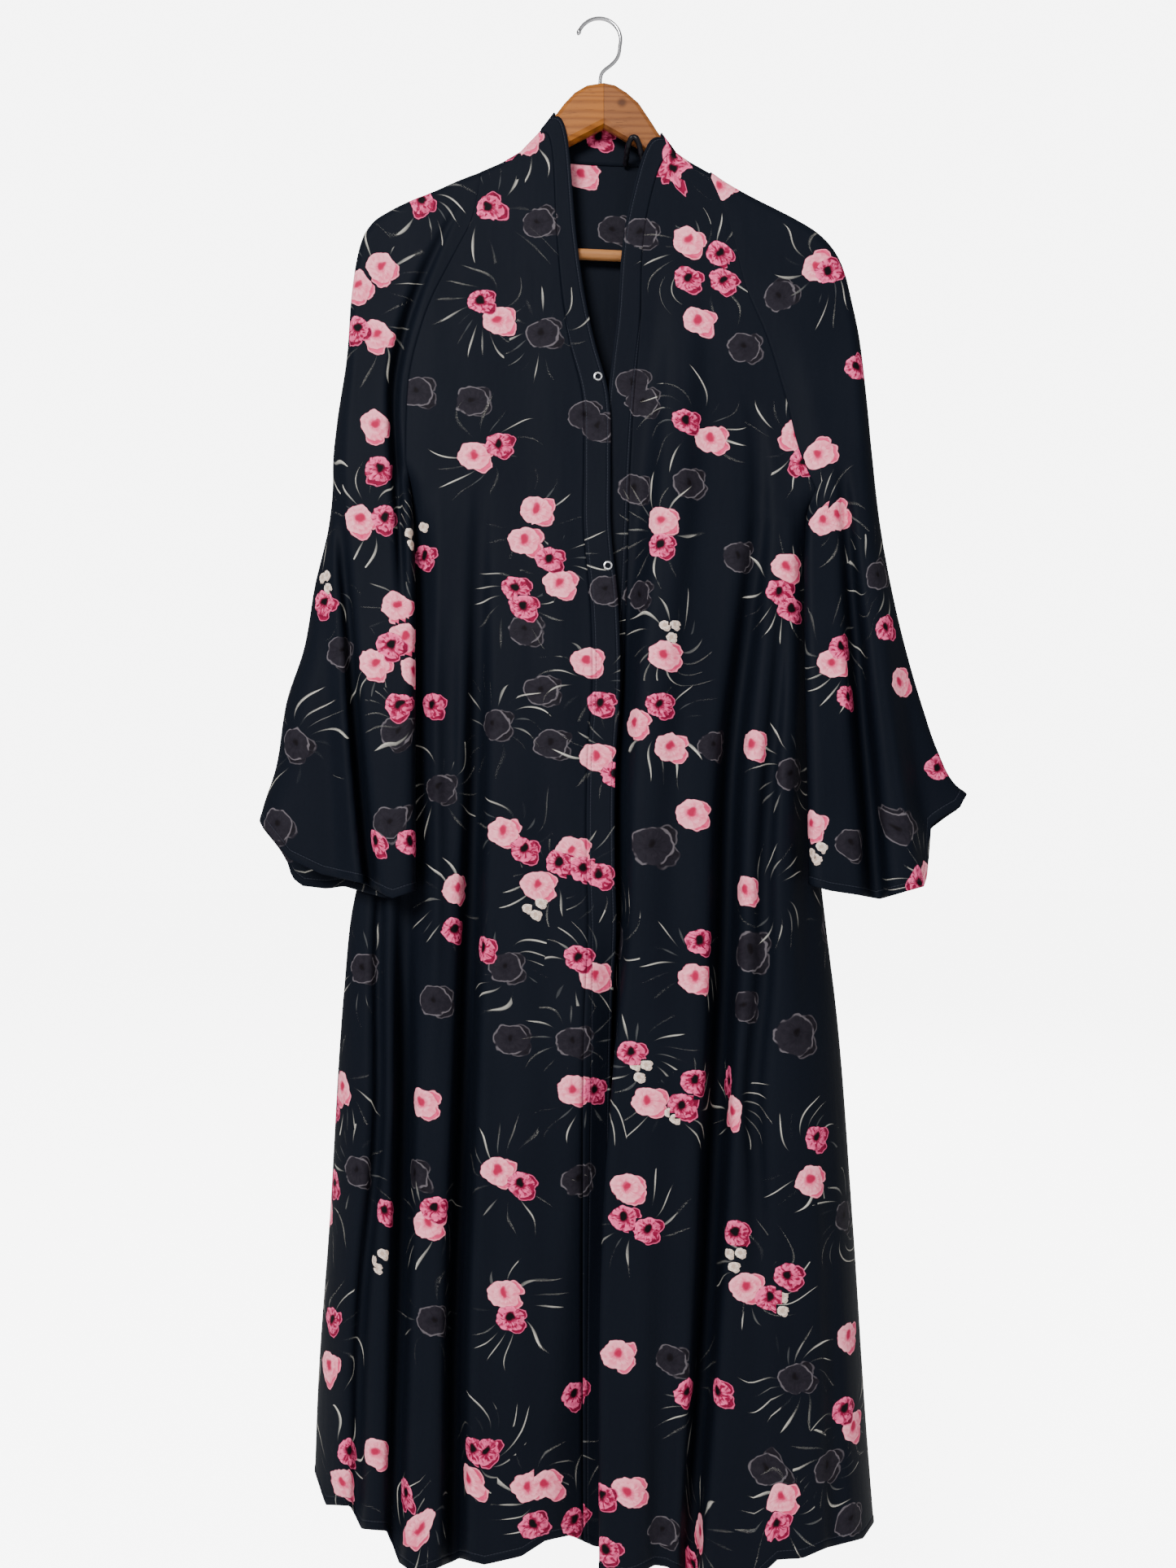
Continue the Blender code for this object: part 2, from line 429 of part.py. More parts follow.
def back_depth(x, down):
    """y of the back panel at a place, with its folds and the turns to both side seams."""
    back, _ = fold_offset(FOLDS_BACK, x, down, 1)
    plane = curve(BACK_PLANE, down) - 0.7 * back
    y = plane
    for hand in (-1, 1):
        side = curve(by_down(side_line(hand)), down)
        underarm = side_line(hand)[len(RAGLAN_RIGHT if hand < 0 else RAGLAN_LEFT) - 1][1]
        strength = ramp(down, underarm - TURN_STARTS, underarm + TURN_ENDS)
        near_side = 1 - np.clip(hand * (side - x) / curve(TURN_WIDTH, down), 0.0, 1.0)
        seam_y = SIDE_SEAM_Y + SIDE_SEAM_GAP / 2
        y = seam_y + (y - seam_y) * np.sqrt(1 - near_side ** 2 * strength)
    neck = ramp(x, -0.058, -0.040) * (1 - ramp(x, 0.050, 0.070)) * (1 - ramp(down, 0.135, 0.220))
    return y + (NECK_STANDS_BACK - SHOULDER_DEPTH) * neck


def side_line(hand):
    """The raglan seam and the side seam below it, as one line."""
    if hand < 0:
        return RAGLAN_RIGHT + SIDE_RIGHT[1:]
    return RAGLAN_LEFT + SIDE_LEFT[1:]


def side_rows(hand):
    """(x, down) of each row on the garment's side: even on the raglan, then even on the side."""
    raglan, side = (RAGLAN_RIGHT, SIDE_RIGHT) if hand < 0 else (RAGLAN_LEFT, SIDE_LEFT)
    upper = walk(raglan, np.linspace(0, 1, RAGLAN_ROWS + 1))
    lower = walk(side, np.linspace(0, 1, SKIRT_ROWS + 1)[1:])
    return np.concatenate((upper[0], lower[0])), np.concatenate((upper[1], lower[1]))


def edge_rows(hand, downs, seam_down):
    """(x of the front edge, x of the band's seam, down) of each row, level with the side's rows."""
    edge = by_down(EDGE_RIGHT if hand < 0 else EDGE_LEFT)
    width = BAND_WIDTH_RIGHT if hand < 0 else BAND_WIDTH_LEFT
    part = (downs - downs[0]) / (downs[-1] - downs[0])
    hem = HEM_RIGHT[-1][1] if hand < 0 else HEM_LEFT[0][1]
    level = seam_down + (hem - seam_down) * part
    blend = ease(part / LEVEL_BLEND)
    level = level * (1 - blend) + np.minimum(downs + EDGE_LAG * part, hem) * blend
    return curve(edge, level), curve(edge, level) + hand * curve(width, level), level


def front_grid(hand, piece):
    """Grid of a front, from its seam at the back of the shoulder down to the hem.

    piece is "band" for the strip along the front edge, or "panel" for the rest.
    """
    side_x, side_down = side_rows(hand)
    seam_top = (SHOULDER_SEAM_RIGHT if hand < 0 else SHOULDER_SEAM_LEFT[::-1])[1]
    edge_x, seam_x, seam_down = edge_rows(hand, side_down, float(ridge(seam_top)) + SHOULDER_DROP)
    folds = FOLDS_RIGHT if hand < 0 else FOLDS_LEFT
    plateaus = (0, 1) if hand < 0 else (0, 1, 3)
    hem = np.array(HEM_RIGHT if hand < 0 else HEM_LEFT)
    count = len(side_x)
    rows = []
    for row, (x_out, down_out) in enumerate(zip(side_x, side_down)):
        if piece == "band":
            part = np.array([-1.0, -0.5, 0.0])
        else:
            keys = key_columns(folds, seam_x[row], x_out, seam_down[row], down_out, plateaus)
            turn = float(curve(TURN_WIDTH, down_out)) / abs(x_out - seam_x[row])
            bends = 1 - (1 - np.cos(np.radians(SIDE_BENDS))) * turn
            part = np.sort(np.concatenate((keys, bends)))
        beyond = np.minimum(part, 0.0)
        inside = np.maximum(part, 0.0)
        x = seam_x[row] + (edge_x[row] - seam_x[row]) * -beyond + (x_out - seam_x[row]) * inside
        down = seam_down[row] + (down_out - seam_down[row]) * inside
        lift = max(0.0, 1 - row / FRONT_LIFT_ROWS) ** 2 * (1 - inside ** 4) if row else 1.0
        down = down + lift * (ridge(x) + SHOULDER_DROP - down)
        hem_x = (seam_x[-1] + (edge_x[-1] - seam_x[-1]) * -beyond
                 + (side_x[-1] - seam_x[-1]) * inside)
        hem_down = seam_down[-1] + (side_down[-1] - seam_down[-1]) * inside
        last = ramp(row, count - HEM_ROWS, count - 1)
        down = down + last * (np.interp(hem_x, *hem.T) - hem_down)
        rows.append((x, down))
    out = []
    for angle in np.radians(WRAP_ANGLES):
        x = rows[0][0]
        down = ridge(x) + SHOULDER_DROP * (1 - math.cos(angle))
        out.append(np.column_stack(in_space(x, down, np.full_like(x, SHOULDER_DEPTH
                                                                  * math.sin(angle)))))
    for x, down in rows:
        y, aside = front_depth(hand, x, down)
        out.append(np.column_stack(in_space(x + aside, down, y)))
    return pull_edge(np.array(out), last=piece == "band")


def pull_edge(grid, last):
    """Draw one edge of a grid back by half the seam's gap."""
    rim, inner = (-1, -2) if last else (0, 1)
    step = grid[:, inner] - grid[:, rim]
    grid[:, rim] += step / np.linalg.norm(step, axis=1)[:, None] * SEAM_GAP / 2
    return grid


def back_grid():
    """Grid of the back panel, from the right side to the left, its top edge behind the wood."""
    right_x, right_down = side_rows(-1)
    left_x, left_down = side_rows(1)
    even = np.linspace(0, 1, BACK_COLUMNS)
    part = even - BACK_SPREAD * np.sin(2 * np.pi * even) / np.pi
    count = len(right_x)
    out = []
    for row in range(count):
        x = right_x[row] + (left_x[row] - right_x[row]) * part
        down = right_down[row] + (left_down[row] - right_down[row]) * part
        lift = max(0.0, 1 - row / BACK_LIFT_ROWS) ** 1.6 * (1 - np.abs(2 * part - 1) ** 6) if row else 1.0
        down = down + lift * (top_line(x) - down)
        hem_x = right_x[-1] + (left_x[-1] - right_x[-1]) * part
        hem_down = right_down[-1] + (left_down[-1] - right_down[-1]) * part
        last = ramp(row, count - HEM_ROWS, count - 1)
        down = down + last * (np.interp(hem_x, *np.array(HEM_BACK).T) - hem_down)
        out.append(np.column_stack(in_space(x, down, back_depth(x, down))))
    return np.array(out)


def top_line(x):
    """Down of the back panel's top: the shoulder seams and the neck seam between them."""
    shoulder = ridge(x) + SHOULDER_DROP
    in_neck = ramp(x, NECK_SEAM[0][0] - 0.004, NECK_SEAM[0][0] + 0.002)
    in_neck = in_neck * (1 - ramp(x, NECK_SEAM[-1][0] - 0.002, NECK_SEAM[-1][0] + 0.004))
    return shoulder + (curve(NECK_SEAM, x) - shoulder) * in_neck + SHOULDER_SEAM_GAP


def neckband_grid():
    """Grid of the back neckband, between the ends of the front bands behind the neck."""
    even = np.linspace(0, 1, NECK_COLUMNS)
    bottom = np.column_stack(walk(NECK_SEAM, even))
    top = np.column_stack(walk(NECK_TOP, even))
    out = []
    for part in np.linspace(0, 1, 4):
        x = top[:, 0] + (bottom[:, 0] - top[:, 0]) * part
        down = top[:, 1] + (bottom[:, 1] - top[:, 1]) * part
        ends = np.maximum(1 - ramp(even, 0.0, 0.12), ramp(even, 0.88, 1.0))
        down = down + SHOULDER_SEAM_GAP * ends - SEAM_GAP / 2 * part * (1 - ends)
        out.append(np.column_stack(in_space(x, down, back_depth(x, down))))
    return np.array(out)


def sleeve_grid(hand):
    """Grid of a sleeve, from the front seam out over the shoulder to the back seam."""
    sleeve = SLEEVE_RIGHT if hand < 0 else SLEEVE_LEFT
    raglan = RAGLAN_RIGHT if hand < 0 else RAGLAN_LEFT
    underarm = raglan[-1][1]
    upper = walk(raglan, np.linspace(0, 1, RAGLAN_ROWS + 1))
    lower = walk(sleeve.inner, np.linspace(0, 1, CUFF_ROWS + 1)[1:])
    in_down = np.concatenate((upper[1], lower[1]))
    gap = SEAM_GAP + UNDERARM_EASE * np.exp(-((in_down - underarm) / UNDERARM_BLEND) ** 2)
    in_x = np.concatenate((upper[0], lower[0])) + hand * gap
    lengths = np.concatenate(([0.0], np.cumsum(np.hypot(np.diff(in_x), np.diff(in_down)))))
    out_x, out_down = walk(sleeve.outer, lengths / lengths[-1])
    out_x[0] = in_x[0]
    rows = []
    for row in range(len(in_x)):
        length = math.hypot(out_x[row] - in_x[row], out_down[row] - in_down[row])
        part_row = lengths[row] / lengths[-1]
        closed = ramp(in_down[row], underarm, underarm + UNDERARM_BLEND)
        front = half_row(sleeve, hand, in_x[row], in_down[row], out_x[row], out_down[row],
                         length, part_row, closed, True)
        back = half_row(sleeve, hand, in_x[row], in_down[row], out_x[row], out_down[row],
                        length, part_row, closed, False)
        rows.append(np.vstack((front, back[::-1][1:])))
    return np.array(rows)


def half_row(sleeve, hand, in_x, in_down, out_x, out_down, length, part_row, closed, is_front):
    """World points of one row of a sleeve's front or back, from the seam to the outer edge."""
    outer_turn = min(float(curve(SLEEVE_OUTER_TURN, out_down)), length)
    inner_turn = min(SLEEVE_INNER_TURN, 0.3 * length)
    if is_front:
        part = key_columns(sleeve.folds, in_x, out_x, in_down, out_down)
    else:
        part = np.linspace(0, 1, SLEEVE_BACK_COLUMNS)
    room_in = min(inner_turn / length, 0.2)
    room_out = min(outer_turn / length, 0.6)
    middle = room_in + part * (1 - room_in - room_out)
    start = room_in * (1 - np.cos(np.radians((0, 35, 65))))
    end = 1 - room_out * (1 - np.cos(np.radians((68, 46, 24, 0))))
    part = np.concatenate((start, middle, end))
    x = in_x + (out_x - in_x) * part
    down = in_down + (out_down - in_down) * part
    hem = np.array(sleeve.hem_front if is_front else sleeve.hem_back)
    down = down + np.interp(part, hem[:, 0], hem[:, 1]) * ramp(part_row, HEM_SHAPE_STARTS, 1.0)
    from_in = np.clip(part * length / inner_turn, 0, 1)
    from_out = np.clip((1 - part) * length / outer_turn, 0, 1)
    round_in = 1 + (np.sqrt(1 - (1 - from_in) ** 2) - 1) * closed
    round_out = np.sqrt(1 - (1 - from_out) ** 2)
    inner_y = float(curve(SLEEVE_INNER_Y, in_down))
    outer_y = curve(SLEEVE_OUTER_Y, out_down)
    if is_front:
        seam_y = float(front_depth(hand, np.array([in_x]), np.array([in_down]))[0][0])
        plane = curve(SLEEVE_FRONT_PLANE, down)
        reach = ease(part / 0.35) * (1 - closed) + closed
        plane = seam_y + (plane - seam_y) * reach
        back, _ = fold_offset(sleeve.folds, x, down, hand)
        plane = plane + back
        edge_y = seam_y + (inner_y - SEAM_GAP / 2 - seam_y) * closed
    else:
        seam_y = float(back_depth(np.array([in_x]), np.array([in_down]))[0])
        far = curve(SLEEVE_BACK_PLANE, down)
        open_plane = seam_y + (far - seam_y) * ease(part / 0.35)
        near = inner_y + SLEEVE_BACK_LAYER
        shut_plane = near + (far - near) * ease((part - 0.25) / 0.4)
        plane = open_plane + (shut_plane - open_plane) * closed
        edge_y = seam_y + (inner_y + SEAM_GAP / 2 - seam_y) * closed
    y = edge_y + (plane - edge_y) * round_in
    y = outer_y + (y - outer_y) * round_out
    return np.column_stack(in_space(x, down, y))


def finish(name, colour, roughness, metallic=0.0):
    """A plain material with a colour, a roughness and a metallic value."""
    material = bpy.data.materials.new(name)
    material.use_nodes = True
    shader = material.node_tree.nodes["Principled BSDF"]
    shader.inputs["Base Color"].default_value = (*colour, 1.0)
    shader.inputs["Roughness"].default_value = roughness
    shader.inputs["Metallic"].default_value = metallic
    return material


def add_object(name, data, group, material):
    """Put mesh or curve data into the scene as one named piece."""
    piece = bpy.data.objects.new(name, data)
    group.objects.link(piece)
    data.materials.append(material)
    return piece


def add_cloth(name, grid, wall, group, material):
    """One cut piece of cloth: a sheet through the grid's points, given its wall by Solidify."""
    count_down, count_across = grid.shape[:2]
    mesh = bpy.data.meshes.new(name)
    faces = [(row * count_across + column, row * count_across + column + 1,
              (row + 1) * count_across + column + 1, (row + 1) * count_across + column)
             for row in range(count_down - 1) for column in range(count_across - 1)]
    mesh.from_pydata([tuple(point) for point in grid.reshape(-1, 3)], [], faces)
    mesh.shade_smooth()
    piece = add_object(name, mesh, group, material)
    thick = piece.modifiers.new("wall", "SOLIDIFY")
    thick.thickness = wall
    thick.offset = 0.0
    thick.use_even_offset = True
    thick.thickness_clamp = 1.0
    return piece


def add_arm(name, top, underside, group, material):
    """One half of the hanger's wood: its outline given its thickness, with rounded edges."""
    outline = [(x, -down) for x, down in top]
    under = [(x, -down) for x, down in underside]
    if top[0][0] < underside[0][0]:
        loop = outline + under
    else:
        loop = outline[::-1] + under
    cleaned = [point for index, point in enumerate(loop)
               if math.dist(point, loop[index - 1]) > 0.0005]
    shape = bmesh.new()
    base = [shape.verts.new((x, -WOOD_THICKNESS / 2, z)) for x, z in cleaned]
    face = shape.faces.new(base)
    pushed = bmesh.ops.extrude_face_region(shape, geom=[face])["geom"]
    moved = [item for item in pushed if isinstance(item, bmesh.types.BMVert)]
    bmesh.ops.translate(shape, vec=(0, WOOD_THICKNESS, 0), verts=moved)
    bmesh.ops.recalc_face_normals(shape, faces=shape.faces)
    mesh = bpy.data.meshes.new(name)
    shape.to_mesh(mesh)
    shape.free()
    piece = add_object(name, mesh, group, material)
    rounding = piece.modifiers.new("rounded edges", "BEVEL")
    rounding.width = WOOD_ROUNDING
    rounding.segments = 2
    rounding.limit_method = "ANGLE"
    rounding.angle_limit = math.radians(60)
    rounding.harden_normals = False
    return piece


def add_block(name, x_low, x_high, group):
    """A cutter from one x to another, taller and deeper than the middle of the hanger."""
    shape = bmesh.new()
    bmesh.ops.create_cube(shape, size=1.0)
    for vert in shape.verts:
        vert.co.x = x_high if vert.co.x > 0 else x_low
        vert.co.y *= MITRE_CUT_DEPTH
        vert.co.z = vert.co.z * MITRE_CUT_HEIGHT - ARM_TOP_LEFT[0][1] - WOOD_THICKNESS
    mesh = bpy.data.meshes.new(name)
    shape.to_mesh(mesh)
    shape.free()
    block = bpy.data.objects.new(name, mesh)
    group.objects.link(block)
    return block


def add_wire(name, points, radius, group, material, sides=2):
    """A round wire or cord through points, with filled ends."""
    data = bpy.data.curves.new(name, "CURVE")
    data.dimensions = "3D"
    data.bevel_depth = radius
    data.bevel_resolution = sides
    data.use_fill_caps = True
    line = data.splines.new("POLY")
    line.points.add(len(points) - 1)
    for slot, point in zip(line.points, points):
        slot.co = (*point, 1.0)
    return add_object(name, data, group, material)


def add_rod(name, start, end, radius, group, sides=24):
    """A straight round rod between two points, used for the bar and for cutters."""
    start, end = np.array(start), np.array(end)
    shape = bmesh.new()
    bmesh.ops.create_cone(shape, cap_ends=True, segments=sides, radius1=radius, radius2=radius,
                          depth=float(np.linalg.norm(end - start)))
    mesh = bpy.data.meshes.new(name)
    shape.to_mesh(mesh)
    shape.free()
    rod = bpy.data.objects.new(name, mesh)
    group.objects.link(rod)
    rod.location = (start + end) / 2
    direction = end - start
    rod.rotation_euler = (0.0, math.atan2(math.hypot(direction[0], direction[1]), direction[2])
                          * (1 if direction[0] >= 0 else -1), 0.0)
    return rod


def cut(piece, cutter):
    """Cut a piece with a hidden cutter."""
    cutter.hide_render = True
    cutter.display_type = "WIRE"
    boolean = piece.modifiers.new("cut by " + cutter.name, "BOOLEAN")
    boolean.operation = "DIFFERENCE"
    boolean.object = cutter


def hook_points():
    """Centre line of the hook, from its tip over the crown down into the wood."""
    centre_down = HOOK_RADIUS - WIRE_RADIUS
    angles = np.linspace(HOOK_TIP_ANGLE, HOOK_TAIL_ANGLE, 24)
    round_part = [(HOOK_RADIUS * math.cos(a), -centre_down + HOOK_RADIUS * math.sin(a))
                  for a in angles]
    line = [(x, -z) for x, z in round_part] + list(HOOK_NECK)
    x, down = walk(line, np.linspace(0, 1, 34))
    return [(float(a), 0.0, -float(b)) for a, b in zip(x, down)]


def add_hanger(group, cutters):
    """The wooden hanger: two mitred halves, the round bar and the wire hook."""
    wood_right = finish("warm beech", (0.47, 0.24, 0.09), 0.45)
    wood_left = finish("rosy beech", (0.42, 0.20, 0.11), 0.45)
    pale_wood = finish("pale bar", (0.50, 0.30, 0.15), 0.5)
    chrome = finish("chrome", (0.75, 0.75, 0.76), 0.15, 1.0)
    past_right, past_left = MITRE_X + MITRE_OVERRUN, MITRE_X - MITRE_OVERRUN
    top_right = ARM_TOP_RIGHT + ((past_right, ARM_TOP_RIGHT[-1][1]),)
    under_right = ((past_right, ARM_UNDERSIDE_RIGHT[0][1]),) + ARM_UNDERSIDE_RIGHT
    top_left = ((past_left, ARM_TOP_LEFT[0][1]),) + ARM_TOP_LEFT
    under_left = ((past_left, ARM_UNDERSIDE_LEFT[0][1]),) + ARM_UNDERSIDE_LEFT
    right = add_arm("hanger_wood_right", top_right, under_right, group, wood_right)
    left = add_arm("hanger_wood_left", top_left, under_left, group, wood_left)
    cut(right, add_block("beyond_mitre_right", MITRE_X - MITRE_GAP / 2, past_right + MITRE_GAP,
                         cutters))
    cut(left, add_block("beyond_mitre_left", past_left - MITRE_GAP, MITRE_X + MITRE_GAP / 2,
                        cutters))
    (bar_x0, bar_down0), (bar_x1, bar_down1) = BAR_ENDS
    ends = ((bar_x0, 0.0, -bar_down0), (bar_x1, 0.0, -bar_down1))
    bar = add_rod("hanger_bar", *ends, BAR_RADIUS, group)
    bar.data.materials.append(pale_wood)
    reach = np.array(ends[1]) - np.array(ends[0])
    beyond = reach / np.linalg.norm(reach) * BAR_SEAT_CLEARANCE
    seat = add_rod("bar_seats", np.array(ends[0]) - beyond, np.array(ends[1]) + beyond,
                   BAR_RADIUS + BAR_SEAT_CLEARANCE, cutters)
    points = hook_points()
    add_wire("hanger_hook", points, WIRE_RADIUS, group, chrome)
    stem_x = HOOK_NECK[-1][0]
    bore = add_rod("hook_bore", (stem_x, 0.0, -HOOK_NECK[-1][1] - BAR_SEAT_CLEARANCE),
                   (stem_x, 0.0, -0.050), WIRE_RADIUS + BAR_SEAT_CLEARANCE, cutters)
    for piece in (right, left):
        cut(piece, seat)
    cut(right, bore)


def surface_at(grid, x, z):
    """y of a band's grid at a place seen from the front."""
    rows = [(np.interp(x, line[:, 0], line[:, 1]), np.interp(x, line[:, 0], line[:, 2]))
            for line in (row[np.argsort(row[:, 0])] for row in grid[len(WRAP_ANGLES):])]
    depth, height = np.array(rows).T
    return float(np.interp(-z, -height, depth))


def add_snaps(bands, group):
    """Two sewn snap fasteners: a ringed socket on the right front, its stud on the left."""
    steel = finish("snap steel", (0.62, 0.62, 0.64), 0.25, 1.0)
    for label, x, down in SNAPS:
        for half, hand in (("socket", -1), ("stud", 1)):
            edge_x = float(curve(by_down(EDGE_LEFT), down)) + STUD_FROM_EDGE
            place_x = x if hand < 0 else edge_x
            y = surface_at(bands[hand], place_x, -down)
            out = -1 if hand < 0 else 1
            y += out * (BAND_WALL / 2 + SNAP_CLEARANCE)
            shape = bmesh.new()
            ring = []
            for radius, height in ((SNAP_HOLE, 0.0), (SNAP_RADIUS, 0.0),
                                   (SNAP_RADIUS * SNAP_SHOULDER, SNAP_HEIGHT * 0.8),
                                   (SNAP_RADIUS * SNAP_CREST, SNAP_HEIGHT),
                                   (SNAP_HOLE, SNAP_HEIGHT * 0.7)):
                ring.append(shape.verts.new((radius, 0.0, height)))
            edges = [shape.edges.new((ring[i], ring[(i + 1) % len(ring)])) for i in range(len(ring))]
            bmesh.ops.spin(shape, geom=edges, axis=(0, 0, 1), cent=(0, 0, 0), steps=12,
                           angle=math.tau, use_merge=False)
            bmesh.ops.remove_doubles(shape, verts=shape.verts, dist=0.00001)
            bmesh.ops.recalc_face_normals(shape, faces=shape.faces)
            mesh = bpy.data.meshes.new("snap_" + half)
            shape.to_mesh(mesh)
            shape.free()
            mesh.shade_smooth()
            snap = add_object("snap_" + half + "_" + label, mesh, group, steel)
            snap.location = in_space(place_x, down, y)
            snap.rotation_euler = (math.radians(90) * -out, 0.0, 0.0)


def add_loop(group, material):
    """The hanging loop of narrow self-cloth cord, sewn inside the back of the neck."""
    line = np.array(LOOP_LINE)
    lengths = np.concatenate(([0.0], np.cumsum(np.linalg.norm(np.diff(line, axis=0), axis=1))))
    steps = np.linspace(0, lengths[-1], LOOP_POINTS)
    x, down, y = (np.interp(steps, lengths, column) for column in line.T)
    points = [in_space(float(a), float(b), float(c)) for a, b, c in zip(x, down, y)]
    add_wire("hanger_loop", points, LOOP_RADIUS, group, material)


def build():
    """Build the whole garment on its hanger."""
    for piece in list(bpy.data.objects):
        bpy.data.objects.remove(piece)
    group = bpy.data.collections.new("abaya_on_hanger")
    cutters = bpy.data.collections.new("cutters")
    bpy.context.scene.collection.children.link(group)
    bpy.context.scene.collection.children.link(cutters)
    cloth = finish("navy crepe", (0.012, 0.015, 0.022), 0.6)
    band_cloth = finish("navy crepe band", (0.010, 0.012, 0.018), 0.6)
    bands = {}
    for hand, side in ((-1, "right"), (1, "left")):
        bands[hand] = front_grid(hand, "band")
        add_cloth("front_" + side, front_grid(hand, "panel"), WALL, group, cloth)
        add_cloth("band_" + side, bands[hand], BAND_WALL, group, band_cloth)
        add_cloth("sleeve_" + side, sleeve_grid(hand), WALL, group, cloth)
    add_cloth("back_panel", back_grid(), WALL, group, cloth)
    add_cloth("neckband_back", neckband_grid(), BAND_WALL, group, band_cloth)
    add_loop(group, band_cloth)
    add_snaps(bands, group)
    add_hanger(group, cutters)


build()
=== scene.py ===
"""Printed open-front abaya on its wooden hanger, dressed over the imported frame.

Units are metres. +X runs to the wearer's left, the front faces -Y and +Z is up, and the origin
lies inside the crown of the hanger's hook. Cloth tables give x and "down", the distance below the
origin, both as read straight on in the hanger's plane.
"""
from __future__ import annotations

import logging
import math
from dataclasses import dataclass, field
from enum import Enum

import bmesh
import bpy
import numpy as np
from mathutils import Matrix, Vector

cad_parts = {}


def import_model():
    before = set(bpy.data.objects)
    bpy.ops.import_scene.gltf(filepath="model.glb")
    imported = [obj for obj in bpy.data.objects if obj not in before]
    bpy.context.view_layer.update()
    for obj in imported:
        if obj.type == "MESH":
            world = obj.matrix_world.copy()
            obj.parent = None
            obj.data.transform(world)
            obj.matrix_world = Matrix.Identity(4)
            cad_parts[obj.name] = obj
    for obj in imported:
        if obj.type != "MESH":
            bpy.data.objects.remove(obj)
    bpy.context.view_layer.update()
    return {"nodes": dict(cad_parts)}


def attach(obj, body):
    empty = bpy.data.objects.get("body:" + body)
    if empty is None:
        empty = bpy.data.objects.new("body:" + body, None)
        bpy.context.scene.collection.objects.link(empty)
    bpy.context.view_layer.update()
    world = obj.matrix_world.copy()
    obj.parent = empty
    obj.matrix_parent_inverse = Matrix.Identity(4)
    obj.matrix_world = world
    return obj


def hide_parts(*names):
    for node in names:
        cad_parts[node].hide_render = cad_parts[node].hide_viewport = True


LOG = logging.getLogger("abaya")
Table = tuple[tuple[float, float], ...]
Array = np.ndarray
Point = tuple[float, float, float]
Colour = Point
Piece = bpy.types.Object
Material = bpy.types.Material
Tree = bpy.types.NodeTree
Node = bpy.types.Node
Socket = bpy.types.NodeSocket

EYE_X = -0.0105
EYE_DOWN = 0.727
EYE_DISTANCE = 1.161
EYE_FADE = (0.18, 0.40)
PHOTO_SCALE = 0.000775
PHOTO_ORIGIN = (736.0, 25.0)


# Curves and small helpers

def put_in_scene(name: str, data: bpy.types.ID) -> Piece:
    """Make an object of that data and link it to the scene."""
    made = bpy.data.objects.new(name, data)
    bpy.context.scene.collection.objects.link(made)
    return made


def curve(table: Table, place: Array | float) -> Array:
    """Read a smooth value from a table.

    Args:
        table: Rows of (place, value), in rising order of place.
        place: One place or many.

    Returns:
        The value at each place.
    """
    places, values = np.array(table, dtype=float).T
    slopes = np.gradient(values, places)
    place = np.clip(np.asarray(place, dtype=float), places[0], places[-1])
    row = np.clip(np.searchsorted(places, place, side="right") - 1, 0, len(places) - 2)
    span = places[row + 1] - places[row]
    s = (place - places[row]) / span
    return ((1 + 2 * s) * (1 - s) ** 2 * values[row] + s * (1 - s) ** 2 * span * slopes[row]
            + s ** 2 * (3 - 2 * s) * values[row + 1] - s ** 2 * (1 - s) * span * slopes[row + 1])


def by_down(points: Table) -> Table:
    """Turn (x, down) rows into the (down, x) table that curve() reads."""
    return tuple((down, x) for x, down in points)


def walk(points: Table, part: Array) -> tuple[Array, Array]:
    """Walk a line of points.

    Args:
        points: Rows of (x, down).
        part: Parts of the line's length, 0 to 1.

    Returns:
        The x and the down of each part.
    """
    line = np.array(points, dtype=float)
    lengths = np.concatenate(([0.0], np.cumsum(np.hypot(*np.diff(line, axis=0).T))))
    at = np.asarray(part) * lengths[-1]
    return (curve(np.column_stack((lengths, line[:, 0])), at),
            curve(np.column_stack((lengths, line[:, 1])), at))


def ease(value: Array | float) -> Array:
    """Smooth rise from 0 to 1."""
    value = np.clip(value, 0.0, 1.0)
    return value * value * (3 - 2 * value)


def ramp(value: Array | float, start: float, end: float) -> Array:
    """Smooth rise from 0 at start to 1 at end."""
    return ease((value - start) / (end - start))


def in_space(x: Array, down: Array, y: Array) -> Array:
    """Give world points of places on the cloth, their nearness to the eye taken out.

    Args:
        x: Places across, as read straight on.
        down: Places below the origin, as read straight on.
        y: Real depths of the same places.

    Returns:
        One row of x, y and z for each place.
    """
    near = 1 + ramp(down, *EYE_FADE) * y / EYE_DISTANCE
    return np.column_stack((EYE_X + (x - EYE_X) * near, y + np.zeros_like(x),
                            -(EYE_DOWN + (down - EYE_DOWN) * near)))


def even_row(points: Array, count: int) -> Array:
    """Space points evenly along a line.

    Args:
        points: Rows of x, y and z.
        count: How many points to give back.

    Returns:
        That many points, even along the line's length.
    """
    steps = np.linalg.norm(np.diff(points, axis=0), axis=1)
    lengths = np.concatenate(([0.0], np.cumsum(steps)))
    at = np.linspace(0, lengths[-1], count)
    return np.column_stack([np.interp(at, lengths, points[:, axis]) for axis in range(3)])


# Thickness of the cloth, its seams and its small waves

CLOTH_WALL = 0.0011
BAND_CLOTH_WALL = 0.0019
SEAM_GAP = -0.0004
FRONT_RIPPLE: Table = ((0.15, 0.0), (0.30, 0.0003), (0.60, 0.0009), (1.48, 0.0016))
BACK_RIPPLE: Table = ((0.15, 0.0), (0.30, 0.0003), (0.60, 0.0010), (1.48, 0.0018))
SLEEVE_RIPPLE: Table = ((0.15, 0.0), (0.30, 0.0004), (0.60, 0.0008), (0.83, 0.0010))

